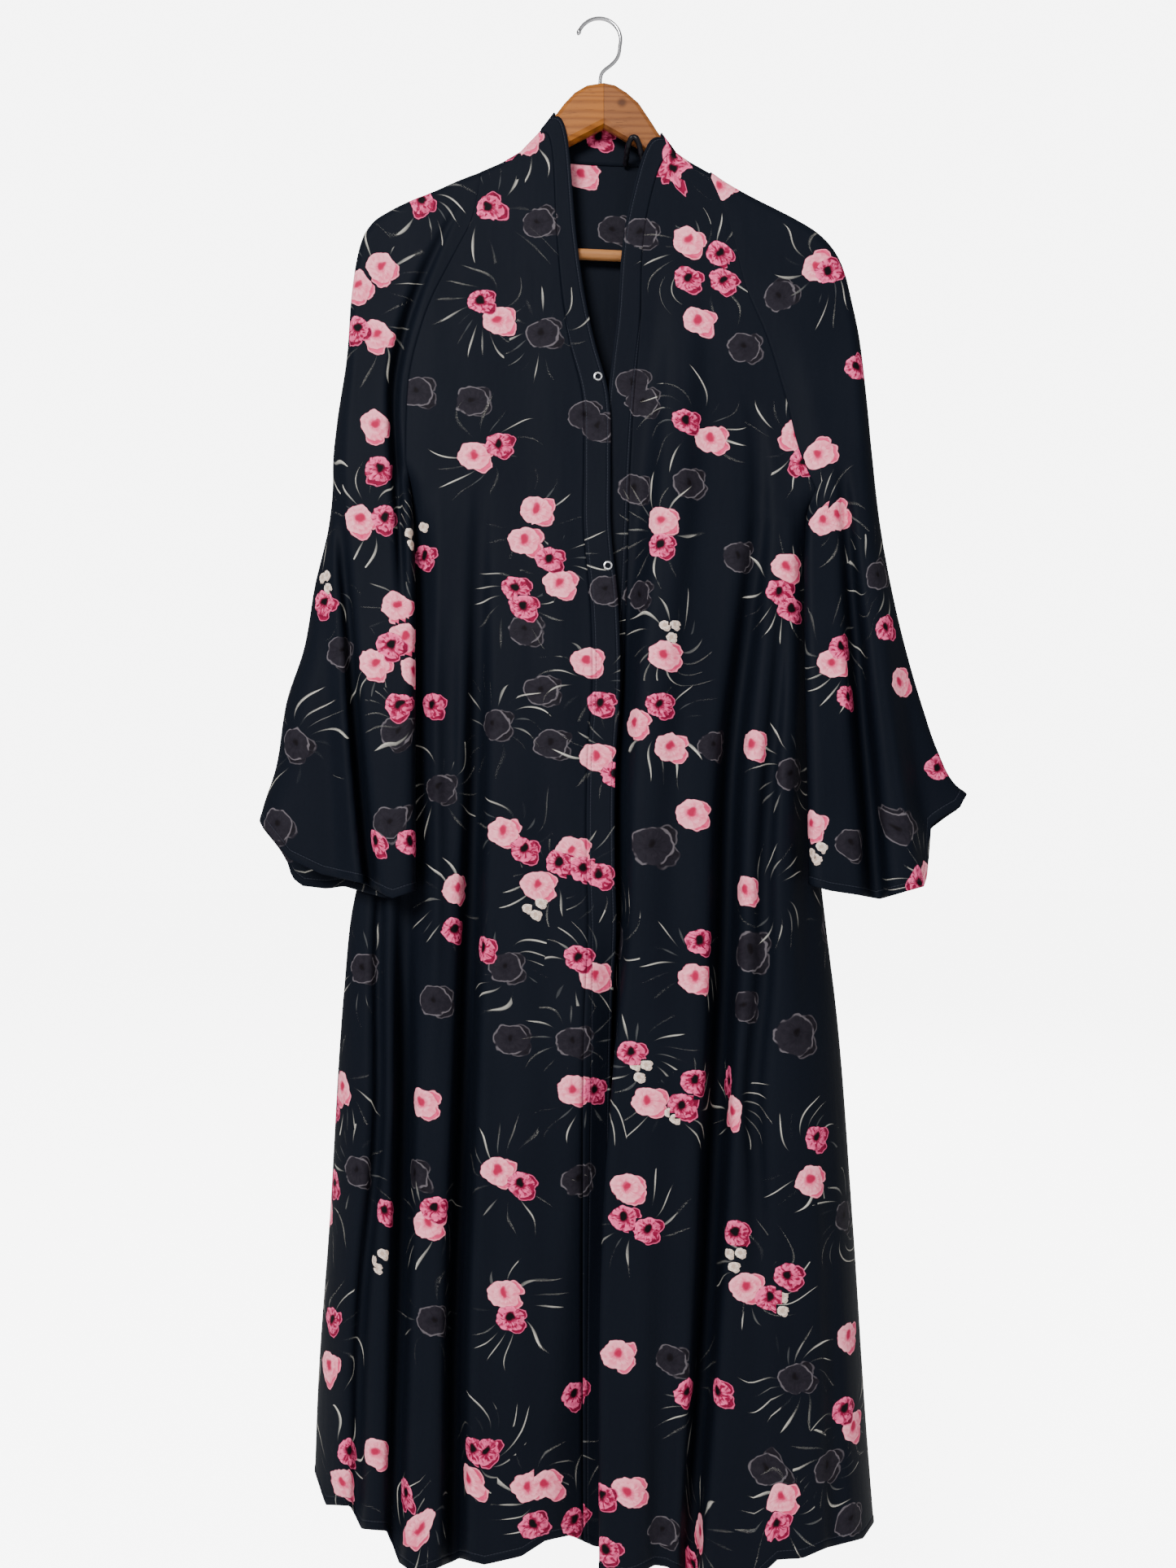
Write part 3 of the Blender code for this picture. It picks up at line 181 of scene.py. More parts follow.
# Sizes of the cloth and of the wood that carries it, as in the part's source

BAND_WIDTH_RIGHT = ((0.11, 0.012), (0.205, 0.017), (0.32, 0.024), (0.4, 0.025), (1.48, 0.025))
BAND_WIDTH_LEFT = (
    (0.11, 0.012), (0.205, 0.017), (0.32, 0.024), (0.4, 0.025), (0.86, 0.025), (0.988, 0.017),
    (1.173, 0.012), (1.48, 0.011)
)
SHOULDER_DEPTH = 0.0088
SHOULDER_DROP = 0.008
CLOTH_LIFT = 0.0017
MITRE_X = 0.0045
ARM_TOP_RIGHT = (
    (-0.214, 0.212), (-0.209, 0.201), (-0.199, 0.19), (-0.181, 0.1785), (-0.156, 0.1665),
    (-0.135, 0.157), (-0.113, 0.148), (-0.092, 0.139), (-0.074, 0.1285), (-0.057, 0.111),
    (-0.047, 0.0985), (-0.033, 0.08), (-0.024, 0.0705), (-0.012, 0.0635), (0.0045, 0.061)
)
ARM_TOP_LEFT = (
    (0.0045, 0.061), (0.016, 0.0635), (0.027, 0.0705), (0.038, 0.08), (0.05, 0.098), (0.059, 0.112),
    (0.072, 0.129), (0.086, 0.1385), (0.103, 0.148), (0.119, 0.157), (0.135, 0.1665),
    (0.152, 0.1755), (0.171, 0.1865), (0.189, 0.197), (0.203, 0.208), (0.211, 0.218), (0.216, 0.229)
)
EDGE_RIGHT = (
    (-0.0475, 0.105), (-0.0356, 0.136), (-0.021, 0.225), (-0.0046, 0.306), (0.0085, 0.353),
    (0.011, 0.42), (0.011, 0.477), (0.0186, 0.562), (0.02, 0.639), (0.016, 0.701), (0.015, 0.802),
    (0.0165, 0.86), (0.013, 0.93), (0.01, 1.143), (0.01, 1.46)
)
EDGE_LEFT = (
    (0.06, 0.123), (0.0585, 0.1356), (0.0457, 0.1666), (0.034, 0.1976), (0.0248, 0.2248),
    (0.0163, 0.2906), (0.009, 0.353), (0.0045, 0.42), (0.0, 0.523), (-0.004, 0.6), (-0.011, 0.717),
    (-0.012, 0.833), (-0.012, 0.988), (-0.01, 1.173), (-0.01, 1.46)
)
RAGLAN_RIGHT = (
    (-0.112, 0.154), (-0.123, 0.2), (-0.133, 0.219), (-0.148, 0.247), (-0.156, 0.262),
    (-0.1705, 0.299), (-0.18, 0.336), (-0.1835, 0.375), (-0.1845, 0.42)
)
RAGLAN_LEFT = (
    (0.106, 0.154), (0.122, 0.193), (0.13, 0.222), (0.137, 0.251), (0.16, 0.305), (0.178, 0.36),
    (0.193, 0.415), (0.207, 0.446)
)
SIDE_RIGHT = (
    (-0.1845, 0.42), (-0.1815, 0.44), (-0.18, 0.48), (-0.185, 0.57), (-0.201, 0.68), (-0.219, 0.78),
    (-0.235, 0.85), (-0.242, 0.92), (-0.256, 1.143), (-0.267, 1.3), (-0.27, 1.382)
)
SIDE_LEFT = (
    (0.207, 0.446), (0.2035, 0.464), (0.202, 0.51), (0.203, 0.62), (0.205, 0.717), (0.209, 0.8),
    (0.2165, 0.87), (0.224, 0.93), (0.241, 1.143), (0.254, 1.34), (0.261, 1.43)
)
HEM_RIGHT = (
    (-0.27, 1.382), (-0.26, 1.413), (-0.237, 1.414), (-0.2255, 1.436), (-0.202, 1.438),
    (-0.19, 1.468), (-0.173, 1.48), (-0.156, 1.474), (-0.1325, 1.464), (-0.109, 1.47),
    (-0.074, 1.462), (-0.051, 1.447), (-0.028, 1.442), (-0.005, 1.452), (0.025, 1.456)
)
HEM_LEFT = (
    (0.0, 1.452), (0.007, 1.468), (0.03, 1.482), (0.0535, 1.47), (0.065, 1.472), (0.09, 1.486),
    (0.15, 1.484), (0.17, 1.465), (0.193, 1.464), (0.216, 1.454), (0.251, 1.445), (0.261, 1.43)
)
HEM_BACK = (
    (-0.27, 1.382), (-0.2, 1.42), (-0.12, 1.412), (-0.04, 1.424), (0.05, 1.414), (0.13, 1.426),
    (0.2, 1.418), (0.261, 1.43)
)
NECK_SEAM = (
    (-0.059, 0.12), (-0.044, 0.1255), (-0.02, 0.129), (0.006, 0.1305), (0.035, 0.1315),
    (0.058, 0.133), (0.072, 0.136)
)
NECK_TOP = (
    (-0.0475, 0.1055), (-0.036, 0.1015), (-0.016, 0.0975), (0.006, 0.097), (0.03, 0.102),
    (0.05, 0.113), (0.06, 0.1205)
)
NECK_STANDS_BACK = 0.0135
NECK_SEAM_LAP = 0.0016
SHOULDER_SEAM_GAP = 0.0008
SHOULDER_SEAM_RIGHT = (-0.112, -0.059)
SHOULDER_SEAM_LEFT = (0.072, 0.106)

# How far the cloth stands forward (minus y) or back, by down
FRONT_PLANE_RIGHT = (
    (0.15, -0.0088), (0.25, -0.011), (0.353, -0.015), (0.523, -0.023), (0.717, -0.032),
    (0.911, -0.04), (1.143, -0.048), (1.46, -0.054)
)
FRONT_PLANE_LEFT = (
    (0.15, -0.0088), (0.25, -0.011), (0.353, -0.016), (0.523, -0.03), (0.717, -0.042),
    (0.911, -0.053), (1.143, -0.061), (1.46, -0.065)
)
BACK_PLANE = (
    (0.15, 0.0088), (0.25, 0.0105), (0.353, 0.013), (0.523, 0.018), (0.717, 0.022), (0.911, 0.027),
    (1.143, 0.032), (1.46, 0.036)
)
SIDE_SEAM_Y = 0.003
TURN_WIDTH = ((0.42, 0.01), (0.523, 0.028), (0.717, 0.038), (1.143, 0.055), (1.46, 0.062))


UPRIGHT = ((0.0, 0.0), (1.5, 0.0))


class FoldKind(Enum):
    """The ways in which a fold steps back and comes forward again."""

    TROUGH = "trough"
    SOFT = "soft"
    STEP = "step"
    CURL = "curl"
    RIM = "rim"
    RIDGE = "ridge"


@dataclass(frozen=True)
class Fold:
    """One fold: its path down the cloth, its half width, its drop and its lean, by down."""

    name: str
    kind: FoldKind
    path: Table
    width: Table
    drop: Table
    lean: Table = UPRIGHT


@dataclass(frozen=True)
class SleeveCut:
    """One sleeve: its inner edge, its outer edge, how far its cuff hangs, and its folds."""

    inner: Table
    outer: Table
    hem_front: Table
    hem_back: Table
    folds: tuple[Fold, ...]


FOLDS_RIGHT = (
    Fold("centre recess", FoldKind.STEP,
         ((0.15, -0.068), (0.5, -0.02), (0.85, 0.0), (1.143, -0.012), (1.46, -0.034)),
         ((0.15, 0.004), (0.85, 0.01), (1.143, 0.016), (1.46, 0.026)),
         ((0.84, 0.0), (0.92, 0.012), (1.143, 0.024), (1.46, 0.026))),
    Fold("main valley", FoldKind.TROUGH,
         ((0.15, -0.09), (0.25, -0.1), (0.484, -0.113), (0.628, -0.1155), (0.843, -0.1217),
          (1.07, -0.1294), (1.221, -0.135), (1.46, -0.138)),
         ((0.15, 0.003), (0.45, 0.008), (1.46, 0.01)),
         ((0.43, 0.0), (0.56, 0.008), (0.72, 0.024), (0.95, 0.036), (1.46, 0.038))),
    Fold("soft valley", FoldKind.SOFT,
         ((0.15, -0.098), (0.25, -0.112), (0.5, -0.14), (0.83, -0.142), (1.46, -0.158)),
         ((0.15, 0.002), (0.45, 0.008), (1.46, 0.008)),
         ((0.55, 0.0), (0.68, 0.007), (0.87, 0.006), (1.05, 0.0))),
    Fold("room under the sleeve", FoldKind.RIM,
         ((0.15, -0.102), (0.353, -0.152), (0.5, -0.16), (0.83, -0.163), (1.46, -0.176)),
         ((0.15, 0.001), (0.45, 0.006), (0.83, 0.009), (1.46, 0.006)),
         ((0.44, 0.0), (0.52, 0.01), (0.7, 0.018), (0.84, 0.02), (0.94, 0.008), (1.05, 0.0))),
    Fold("side valley", FoldKind.TROUGH,
         ((0.15, -0.105), (0.353, -0.164), (0.55, -0.17), (0.818, -0.184), (1.02, -0.185),
          (1.171, -0.188), (1.373, -0.193), (1.46, -0.195)),
         ((0.15, 0.001), (0.45, 0.004), (0.85, 0.009), (1.46, 0.009)),
         ((0.7, 0.0), (0.85, 0.01), (0.95, 0.026), (1.3, 0.026), (1.46, 0.02))),
    Fold("edge valley", FoldKind.SOFT,
         ((0.15, -0.109), (0.353, -0.176), (0.6, -0.182), (0.833, -0.208), (1.07, -0.211),
          (1.221, -0.225), (1.46, -0.231)),
         ((0.15, 0.001), (0.45, 0.002), (0.85, 0.006), (1.46, 0.007)),
         ((0.6, 0.0), (0.83, 0.012), (1.07, 0.016), (1.46, 0.012))),
)
FOLDS_LEFT = (
    Fold("centre step", FoldKind.CURL,
         ((0.15, 0.08), (0.18, 0.074), (0.338, 0.056), (0.467, 0.047), (0.581, 0.0355),
          (0.717, 0.026), (0.833, 0.025), (0.988, 0.017), (1.173, 0.014), (1.298, 0.0135),
          (1.46, 0.014)),
         ((0.15, 0.003), (0.338, 0.008), (0.6, 0.0075), (0.717, 0.0065), (1.46, 0.0065)),
         ((0.2, 0.0), (0.33, 0.003), (0.43, 0.009), (0.523, 0.017), (0.717, 0.028), (0.911, 0.038),
          (1.143, 0.047), (1.46, 0.05)),
         ((0.88, 0.0), (1.173, 0.017), (1.46, 0.02))),
    Fold("chest ridge", FoldKind.RIDGE,
         ((0.15, 0.09), (0.338, 0.078), (0.467, 0.069), (0.6, 0.057), (0.717, 0.048), (1.46, 0.04)),
         ((0.15, 0.01), (0.338, 0.018), (0.6, 0.019), (1.46, 0.018)),
         ((0.26, 0.0), (0.36, 0.006), (0.467, 0.01), (0.64, 0.01), (0.78, 0.005), (0.95, 0.0))),
    Fold("soft hem wave", FoldKind.SOFT,
         ((0.15, 0.088), (0.353, 0.105), (0.717, 0.075), (1.46, 0.06)),
         ((0.15, 0.002), (0.5, 0.012), (1.46, 0.014)),
         ((1.05, 0.0), (1.46, 0.012))),
    Fold("main valley", FoldKind.TROUGH,
         ((0.15, 0.095), (0.25, 0.112), (0.368, 0.146), (0.477, 0.152), (0.5557, 0.144),
          (0.698, 0.127), (0.9137, 0.1186), (1.061, 0.1116), (1.2485, 0.102), (1.46, 0.087)),
         ((0.15, 0.002), (0.5, 0.01), (0.95, 0.012), (1.25, 0.011), (1.46, 0.01)),
         ((0.36, 0.0), (0.5, 0.01), (0.6, 0.022), (0.75, 0.034), (0.95, 0.042), (1.2, 0.04),
          (1.46, 0.036))),
    Fold("soft valley", FoldKind.SOFT,
         ((0.15, 0.1), (0.353, 0.166), (0.5, 0.178), (0.602, 0.172), (0.805, 0.158),
          (0.911, 0.1566), (1.019, 0.147), (1.104, 0.15), (1.46, 0.15)),
         ((0.15, 0.001), (0.4, 0.004), (0.6, 0.007), (1.46, 0.01)),
         ((0.54, 0.0), (0.64, 0.009), (0.95, 0.012), (1.05, 0.012), (1.2, 0.002))),
    Fold("room under the sleeve", FoldKind.RIM,
         ((0.15, 0.103), (0.353, 0.168), (0.5, 0.188), (0.8, 0.19), (1.143, 0.2), (1.46, 0.205)),
         ((0.15, 0.001), (0.4, 0.003), (0.5, 0.005), (0.8, 0.007), (1.46, 0.008)),
         ((0.45, 0.0), (0.54, 0.01), (0.7, 0.018), (0.84, 0.018), (0.96, 0.004), (1.1, 0.0))),
    Fold("side wave", FoldKind.SOFT,
         ((0.15, 0.1045), (0.353, 0.173), (0.5, 0.195), (0.8, 0.203), (1.143, 0.218),
          (1.46, 0.226)),
         ((0.15, 0.001), (0.4, 0.002), (0.8, 0.004), (1.46, 0.01)),
         ((0.95, 0.0), (1.2, 0.006), (1.46, 0.012))),
)
FOLDS_BACK = tuple(
    Fold(name, FoldKind.SOFT, ((0.15, top), (0.4, chest), (0.9, knee), (1.46, hem)),
         ((0.15, 0.003), (0.5, 0.012), (1.46, 0.016)),
         ((start, 0.0), (0.9, middle), (1.46, low)))
    for name, top, chest, knee, hem, start, middle, low in (
        ("outer valley right", -0.09, -0.14, -0.165, -0.2, 0.45, 0.009, 0.017),
        ("inner valley right", -0.05, -0.07, -0.085, -0.105, 0.4, 0.012, 0.02),
        ("middle valley", 0.0, -0.005, -0.01, -0.015, 0.5, 0.008, 0.016),
        ("inner valley left", 0.045, 0.06, 0.07, 0.085, 0.38, 0.013, 0.021),
        ("outer valley left", 0.085, 0.14, 0.15, 0.178, 0.45, 0.01, 0.018),
    )
)

SLEEVE_RIGHT = SleeveCut(
    inner=((-0.1845, 0.42), (-0.1812, 0.437), (-0.1785, 0.46), (-0.1765, 0.5), (-0.1755, 0.56),
           (-0.1755, 0.64), (-0.1755, 0.72), (-0.175, 0.8), (-0.175, 0.8285)),
    outer=((-0.112, 0.146), (-0.135, 0.155), (-0.156, 0.1645), (-0.181, 0.1745), (-0.199, 0.1835),
           (-0.213, 0.1925), (-0.2215, 0.203), (-0.227, 0.217), (-0.231, 0.235), (-0.2345, 0.26),
           (-0.2395, 0.3216), (-0.249, 0.3836), (-0.2527, 0.42), (-0.253, 0.4456), (-0.256, 0.4766),
           (-0.27, 0.5386), (-0.281, 0.6006), (-0.296, 0.645), (-0.308, 0.715), (-0.32, 0.752),
           (-0.3225, 0.763)),
    hem_front=((0.0, 0.0), (0.157, 0.018), (0.32, 0.0147), (0.605, 0.024), (0.82, 0.0228),
               (0.86, 0.0175), (1.0, 0.0)),
    hem_back=((0.0, 0.0), (0.2, 0.02), (0.46, 0.026), (0.57, 0.0357), (0.73, 0.0434),
              (0.795, 0.0395), (0.825, 0.027), (0.87, 0.0186), (0.973, 0.006), (1.0, 0.0)),
    folds=(
        Fold("seam groove", FoldKind.TROUGH,
             ((0.154, -0.116), (0.213, -0.15), (0.276, -0.178), (0.34, -0.194), (0.423, -0.1935),
              (0.485, -0.19), (0.56, -0.187), (0.829, -0.186)),
             ((0.154, 0.002), (0.213, 0.005), (0.4, 0.005), (0.829, 0.003)),
             ((0.18, 0.0), (0.24, 0.006), (0.3, 0.012), (0.42, 0.014), (0.5, 0.01), (0.57, 0.0))),
        Fold("sleeve valley", FoldKind.TROUGH,
             ((0.154, -0.122), (0.3, -0.222), (0.42, -0.248), (0.49, -0.245), (0.59, -0.237),
              (0.665, -0.2325), (0.74, -0.226), (0.8, -0.22), (0.829, -0.216)),
             ((0.154, 0.002), (0.4, 0.005), (0.829, 0.007)),
             ((0.38, 0.0), (0.47, 0.006), (0.6, 0.018), (0.7, 0.026), (0.829, 0.028))),
        Fold("outer recess", FoldKind.RIM,
             ((0.154, -0.125), (0.3, -0.23), (0.42, -0.251), (0.49, -0.254), (0.59, -0.251),
              (0.665, -0.248), (0.74, -0.243), (0.829, -0.236)),
             ((0.154, 0.002), (0.4, 0.006), (0.829, 0.012)),
             ((0.4, 0.0), (0.5, 0.006), (0.7, 0.016), (0.829, 0.02))),
    ),
)
SLEEVE_LEFT = SleeveCut(
    inner=((0.207, 0.446), (0.203, 0.455), (0.1995, 0.466), (0.1965, 0.5), (0.196, 0.56),
           (0.1975, 0.6626), (0.199, 0.74), (0.2005, 0.823)),
    outer=((0.106, 0.146), (0.119, 0.155), (0.135, 0.1645), (0.152, 0.1735), (0.171, 0.183),
           (0.189, 0.1925), (0.206, 0.203), (0.218, 0.214), (0.227, 0.227), (0.2335, 0.243),
           (0.239, 0.265), (0.2457, 0.295), (0.2534, 0.3526), (0.2596, 0.4146), (0.2666, 0.4766),
           (0.2775, 0.5386), (0.292, 0.6006), (0.308, 0.655), (0.321, 0.6936), (0.337, 0.725),
           (0.35, 0.737)),
    hem_front=((0.0, 0.0), (0.13, 0.017), (0.297, 0.035), (0.445, 0.0519), (0.725, 0.064),
               (0.745, 0.056), (0.775, 0.009), (0.874, 0.0077), (0.956, 0.008), (1.0, 0.0)),
    hem_back=((0.0, 0.0), (0.2, 0.02), (0.445, 0.042), (0.68, 0.048), (0.76, 0.013), (0.874, 0.01),
              (0.956, 0.009), (1.0, 0.0)),
    folds=(
        Fold("sleeve valley", FoldKind.TROUGH,
             ((0.154, 0.114), (0.3, 0.205), (0.42, 0.23), (0.485, 0.236), (0.54, 0.24),
              (0.6, 0.245), (0.66, 0.25), (0.74, 0.257), (0.829, 0.2635)),
             ((0.154, 0.002), (0.4, 0.005), (0.6, 0.009), (0.829, 0.011)),
             ((0.42, 0.0), (0.48, 0.01), (0.56, 0.022), (0.65, 0.031), (0.829, 0.035))),
        Fold("back layer", FoldKind.RIM,
             ((0.154, 0.118), (0.3, 0.215), (0.48, 0.262), (0.56, 0.274), (0.64, 0.284),
              (0.7, 0.293), (0.76, 0.302), (0.829, 0.312)),
             ((0.154, 0.002), (0.4, 0.006), (0.64, 0.008), (0.829, 0.008)),
             ((0.48, 0.0), (0.56, 0.008), (0.68, 0.026), (0.829, 0.036))),
    ),
)
SLEEVE_FRONT_PLANE = (
    (0.146, -0.0088), (0.25, -0.012), (0.353, -0.02), (0.523, -0.034), (0.7, -0.048),
    (0.829, -0.056)
)
SLEEVE_BACK_PLANE = (
    (0.146, 0.0088), (0.25, 0.011), (0.353, 0.013), (0.523, 0.014), (0.7, 0.013), (0.829, 0.012)
)
SLEEVE_INNER_Y = (
    (0.42, -0.002), (0.45, -0.006), (0.5, -0.016), (0.6, -0.023), (0.72, -0.029), (0.829, -0.032)
)
SLEEVE_OUTER_Y = ((0.146, 0.0), (0.3, -0.001), (0.5, -0.006), (0.829, -0.012))
SLEEVE_OUTER_TURN = ((0.146, 0.008), (0.25, 0.01), (0.4, 0.016), (0.829, 0.024))
SLEEVE_INNER_TURN = 0.009
SLEEVE_BACK_LAYER = 0.0075
UNDERARM_BLEND = 0.045

# Shape of the cloth

WRAP_TURN = 90.0
SHOULDER_ROWS = 9
RAGLAN_STEPS = 8
SKIRT_STEPS = 13
HEM_STEPS = 4
HEM_EDGE = (0.0095, 0.0080, 0.0062, 0.0035, 0.0014, 0.0)
HEM_TURN = (0.0060, 0.0082)
HEM_THICKER = 0.9
EDGE_THIN = 0.45
EDGE_ROUND = (-0.001, 0.0014)
SLOPE_STEP = 0.004
FOLD_REACH = 1.4
TURN_BEGINS = 0.005
TURN_DONE = 0.030
BACK_FOLD_SHARE = 0.7
BACK_RIPPLE_SHIFT = 0.3
NECK_FADE_RIGHT = (-0.058, -0.040)
NECK_FADE_LEFT = (0.050, 0.070)
NECK_FADE_DOWN = (0.135, 0.220)
DRIFT_SIZE = 0.030
DRIFT_TURN = 3.1
DRIFT_START = 1.0
DRIFT_SLANT = 0.10


@dataclass(frozen=True)
class Ripple:
    """One soft wave: its share, its length, how it follows the drift, its tilt and its start."""

    share: float
    length: float
    follow: float
    tilt: float
    start: float


RIPPLES = (Ripple(1.0, 0.0105, 1.0, 2.0, 0.0), Ripple(0.7, 0.0170, -1.0, 0.0, 1.3),
           Ripple(0.5, 0.0068, 0.6, 5.0, 0.4))


def arm_top(x: Array) -> Array:
    """Down of the wood's top outline at x."""
    right = np.interp(x, *np.array(ARM_TOP_RIGHT).T)
    left = np.interp(x, *np.array(ARM_TOP_LEFT).T)
    return np.where(np.asarray(x) < MITRE_X, right, left)


def ridge(x: Array) -> Array:
    """Down of the middle of cloth that lies on the wood at x."""
    slope = (arm_top(x + SLOPE_STEP) - arm_top(x - SLOPE_STEP)) / (2 * SLOPE_STEP)
    return arm_top(x) - CLOTH_LIFT * np.sqrt(1 + slope ** 2)


def fold_offset(folds: tuple[Fold, ...], x: Array, down: Array, hand: int) -> tuple[Array, Array]:
    """Add up what folds do to the cloth.

    Args:
        folds: The folds that cross the cloth.
        x: Places across.
        down: Places below the origin.
        hand: -1 for the wearer's right, 1 for the left.

    Returns:
        How far the cloth goes back, and sideways.
    """
    back = np.zeros_like(x)
    aside = np.zeros_like(x)
    for fold in folds:
        s = (x - curve(fold.path, down)) / curve(fold.width, down) * hand
        drop = np.maximum(curve(fold.drop, down), 0.0)
        if fold.kind in (FoldKind.TROUGH, FoldKind.SOFT):
            back += drop * np.exp(-np.abs(s) ** 3)
        elif fold.kind is FoldKind.RIDGE:
            back -= drop * np.exp(-np.abs(s) ** 3)
        elif fold.kind in (FoldKind.STEP, FoldKind.CURL):
            back += drop * ease((FOLD_REACH - s) / (2 * FOLD_REACH))
        else:
            back += drop * ease((s + FOLD_REACH) / (2 * FOLD_REACH))
        s = np.maximum(s, -1.0)
        aside -= hand * curve(fold.lean, down) * s * np.exp(0.5 * (1 - s * s))
    return back, aside


def ripples(x: Array, down: Array, size: Table) -> Array:
    """Small soft waves that run down the cloth.

    Args:
        x: Places across.
        down: Places below the origin.
        size: Their height by down.

    Returns:
        How far each place stands back.
    """
    drift = DRIFT_SIZE * np.sin(DRIFT_TURN * down + DRIFT_START) + DRIFT_SLANT * x
    wave = sum(item.share * np.sin((x + item.follow * drift) / item.length + item.tilt * down
                                   + item.start) for item in RIPPLES)
    return curve(size, down) * wave / sum(item.share for item in RIPPLES)


def side_line(hand: int) -> Table:
    """The raglan seam and the side seam below it, as one line."""
    if hand < 0:
        return RAGLAN_RIGHT + SIDE_RIGHT[1:]
    return RAGLAN_LEFT + SIDE_LEFT[1:]


def toward_side(hand: int, x: Array, down: Array, y: Array, seam_y: float) -> Array:
    """Bring a plane round to the side seam.

    Args:
        hand: -1 for the wearer's right, 1 for the left.
        x: Places across.
        down: Places below the origin.
        y: Their depth before the turn.
        seam_y: The depth of the side seam.

    Returns:
        Their depth after it.
    """
    side = curve(by_down(side_line(hand)), down)
    underarm = (SIDE_RIGHT if hand < 0 else SIDE_LEFT)[0][1]
    strength = ramp(down, underarm - TURN_BEGINS, underarm + TURN_DONE)
    near = 1 - np.clip(hand * (side - x) / curve(TURN_WIDTH, down), 0.0, 1.0)
    return seam_y + (y - seam_y) * np.sqrt(np.maximum(1 - near ** 2 * strength, 0.0))


def front_depth(hand: int, x: Array, down: Array) -> tuple[Array, Array]:
    """Depth of a front panel.

    Args:
        hand: -1 for the wearer's right, 1 for the left.
        x: Places across.
        down: Places below the origin.

    Returns:
        The y of each place and how far a lean moves it sideways.
    """
    plane = curve(FRONT_PLANE_RIGHT if hand < 0 else FRONT_PLANE_LEFT, down)
    back, aside = fold_offset(FOLDS_RIGHT if hand < 0 else FOLDS_LEFT, x, down, hand)
    back = back + ripples(x, down, FRONT_RIPPLE)
    return toward_side(hand, x, down, plane + back, SIDE_SEAM_Y), aside


def back_depth(x: Array, down: Array) -> Array:
    """Depth of the back panel at places across and below the origin."""
    back, _ = fold_offset(FOLDS_BACK, x, down, 1)
    waves = ripples(x + BACK_RIPPLE_SHIFT, down, BACK_RIPPLE)
    y = curve(BACK_PLANE, down) - BACK_FOLD_SHARE * back - waves
    for hand in (-1, 1):
        y = toward_side(hand, x, down, y, SIDE_SEAM_Y)
    neck = ramp(x, *NECK_FADE_RIGHT) * (1 - ramp(x, *NECK_FADE_LEFT))
    neck = neck * (1 - ramp(down, *NECK_FADE_DOWN))
    return y + (NECK_STANDS_BACK - SHOULDER_DEPTH) * neck


def edge_parts(length: float, rows: int) -> Array:
    """Parts, 0 to 1, of a line of that length: even, then close together at its hem."""
    even = np.linspace(0.0, 1.0 - HEM_EDGE[0] / length, rows)
    return np.concatenate((even, 1.0 - np.array(HEM_EDGE[1:]) / length))


def side_rows(hand: int, upper: int, lower: int) -> tuple[Array, Array, Array]:
    """Rows on the garment's side.

    Args:
        hand: -1 for the wearer's right, 1 for the left.
        upper: How many rows lie on the raglan seam.
        lower: How many rows lie on the side seam.

    Returns:
        The x, the down and the step number, as the solids count their rows, of each row.
    """
    raglan, side = (RAGLAN_RIGHT, SIDE_RIGHT) if hand < 0 else (RAGLAN_LEFT, SIDE_LEFT)
    above = np.linspace(0, 1, upper, endpoint=False)
    below = edge_parts(side[-1][1] - side[0][1], lower)
    first, second = walk(raglan, above), walk(side, below)
    steps = np.concatenate((above * RAGLAN_STEPS, RAGLAN_STEPS + below * SKIRT_STEPS))
    return (np.concatenate((first[0], second[0])), np.concatenate((first[1], second[1])), steps)


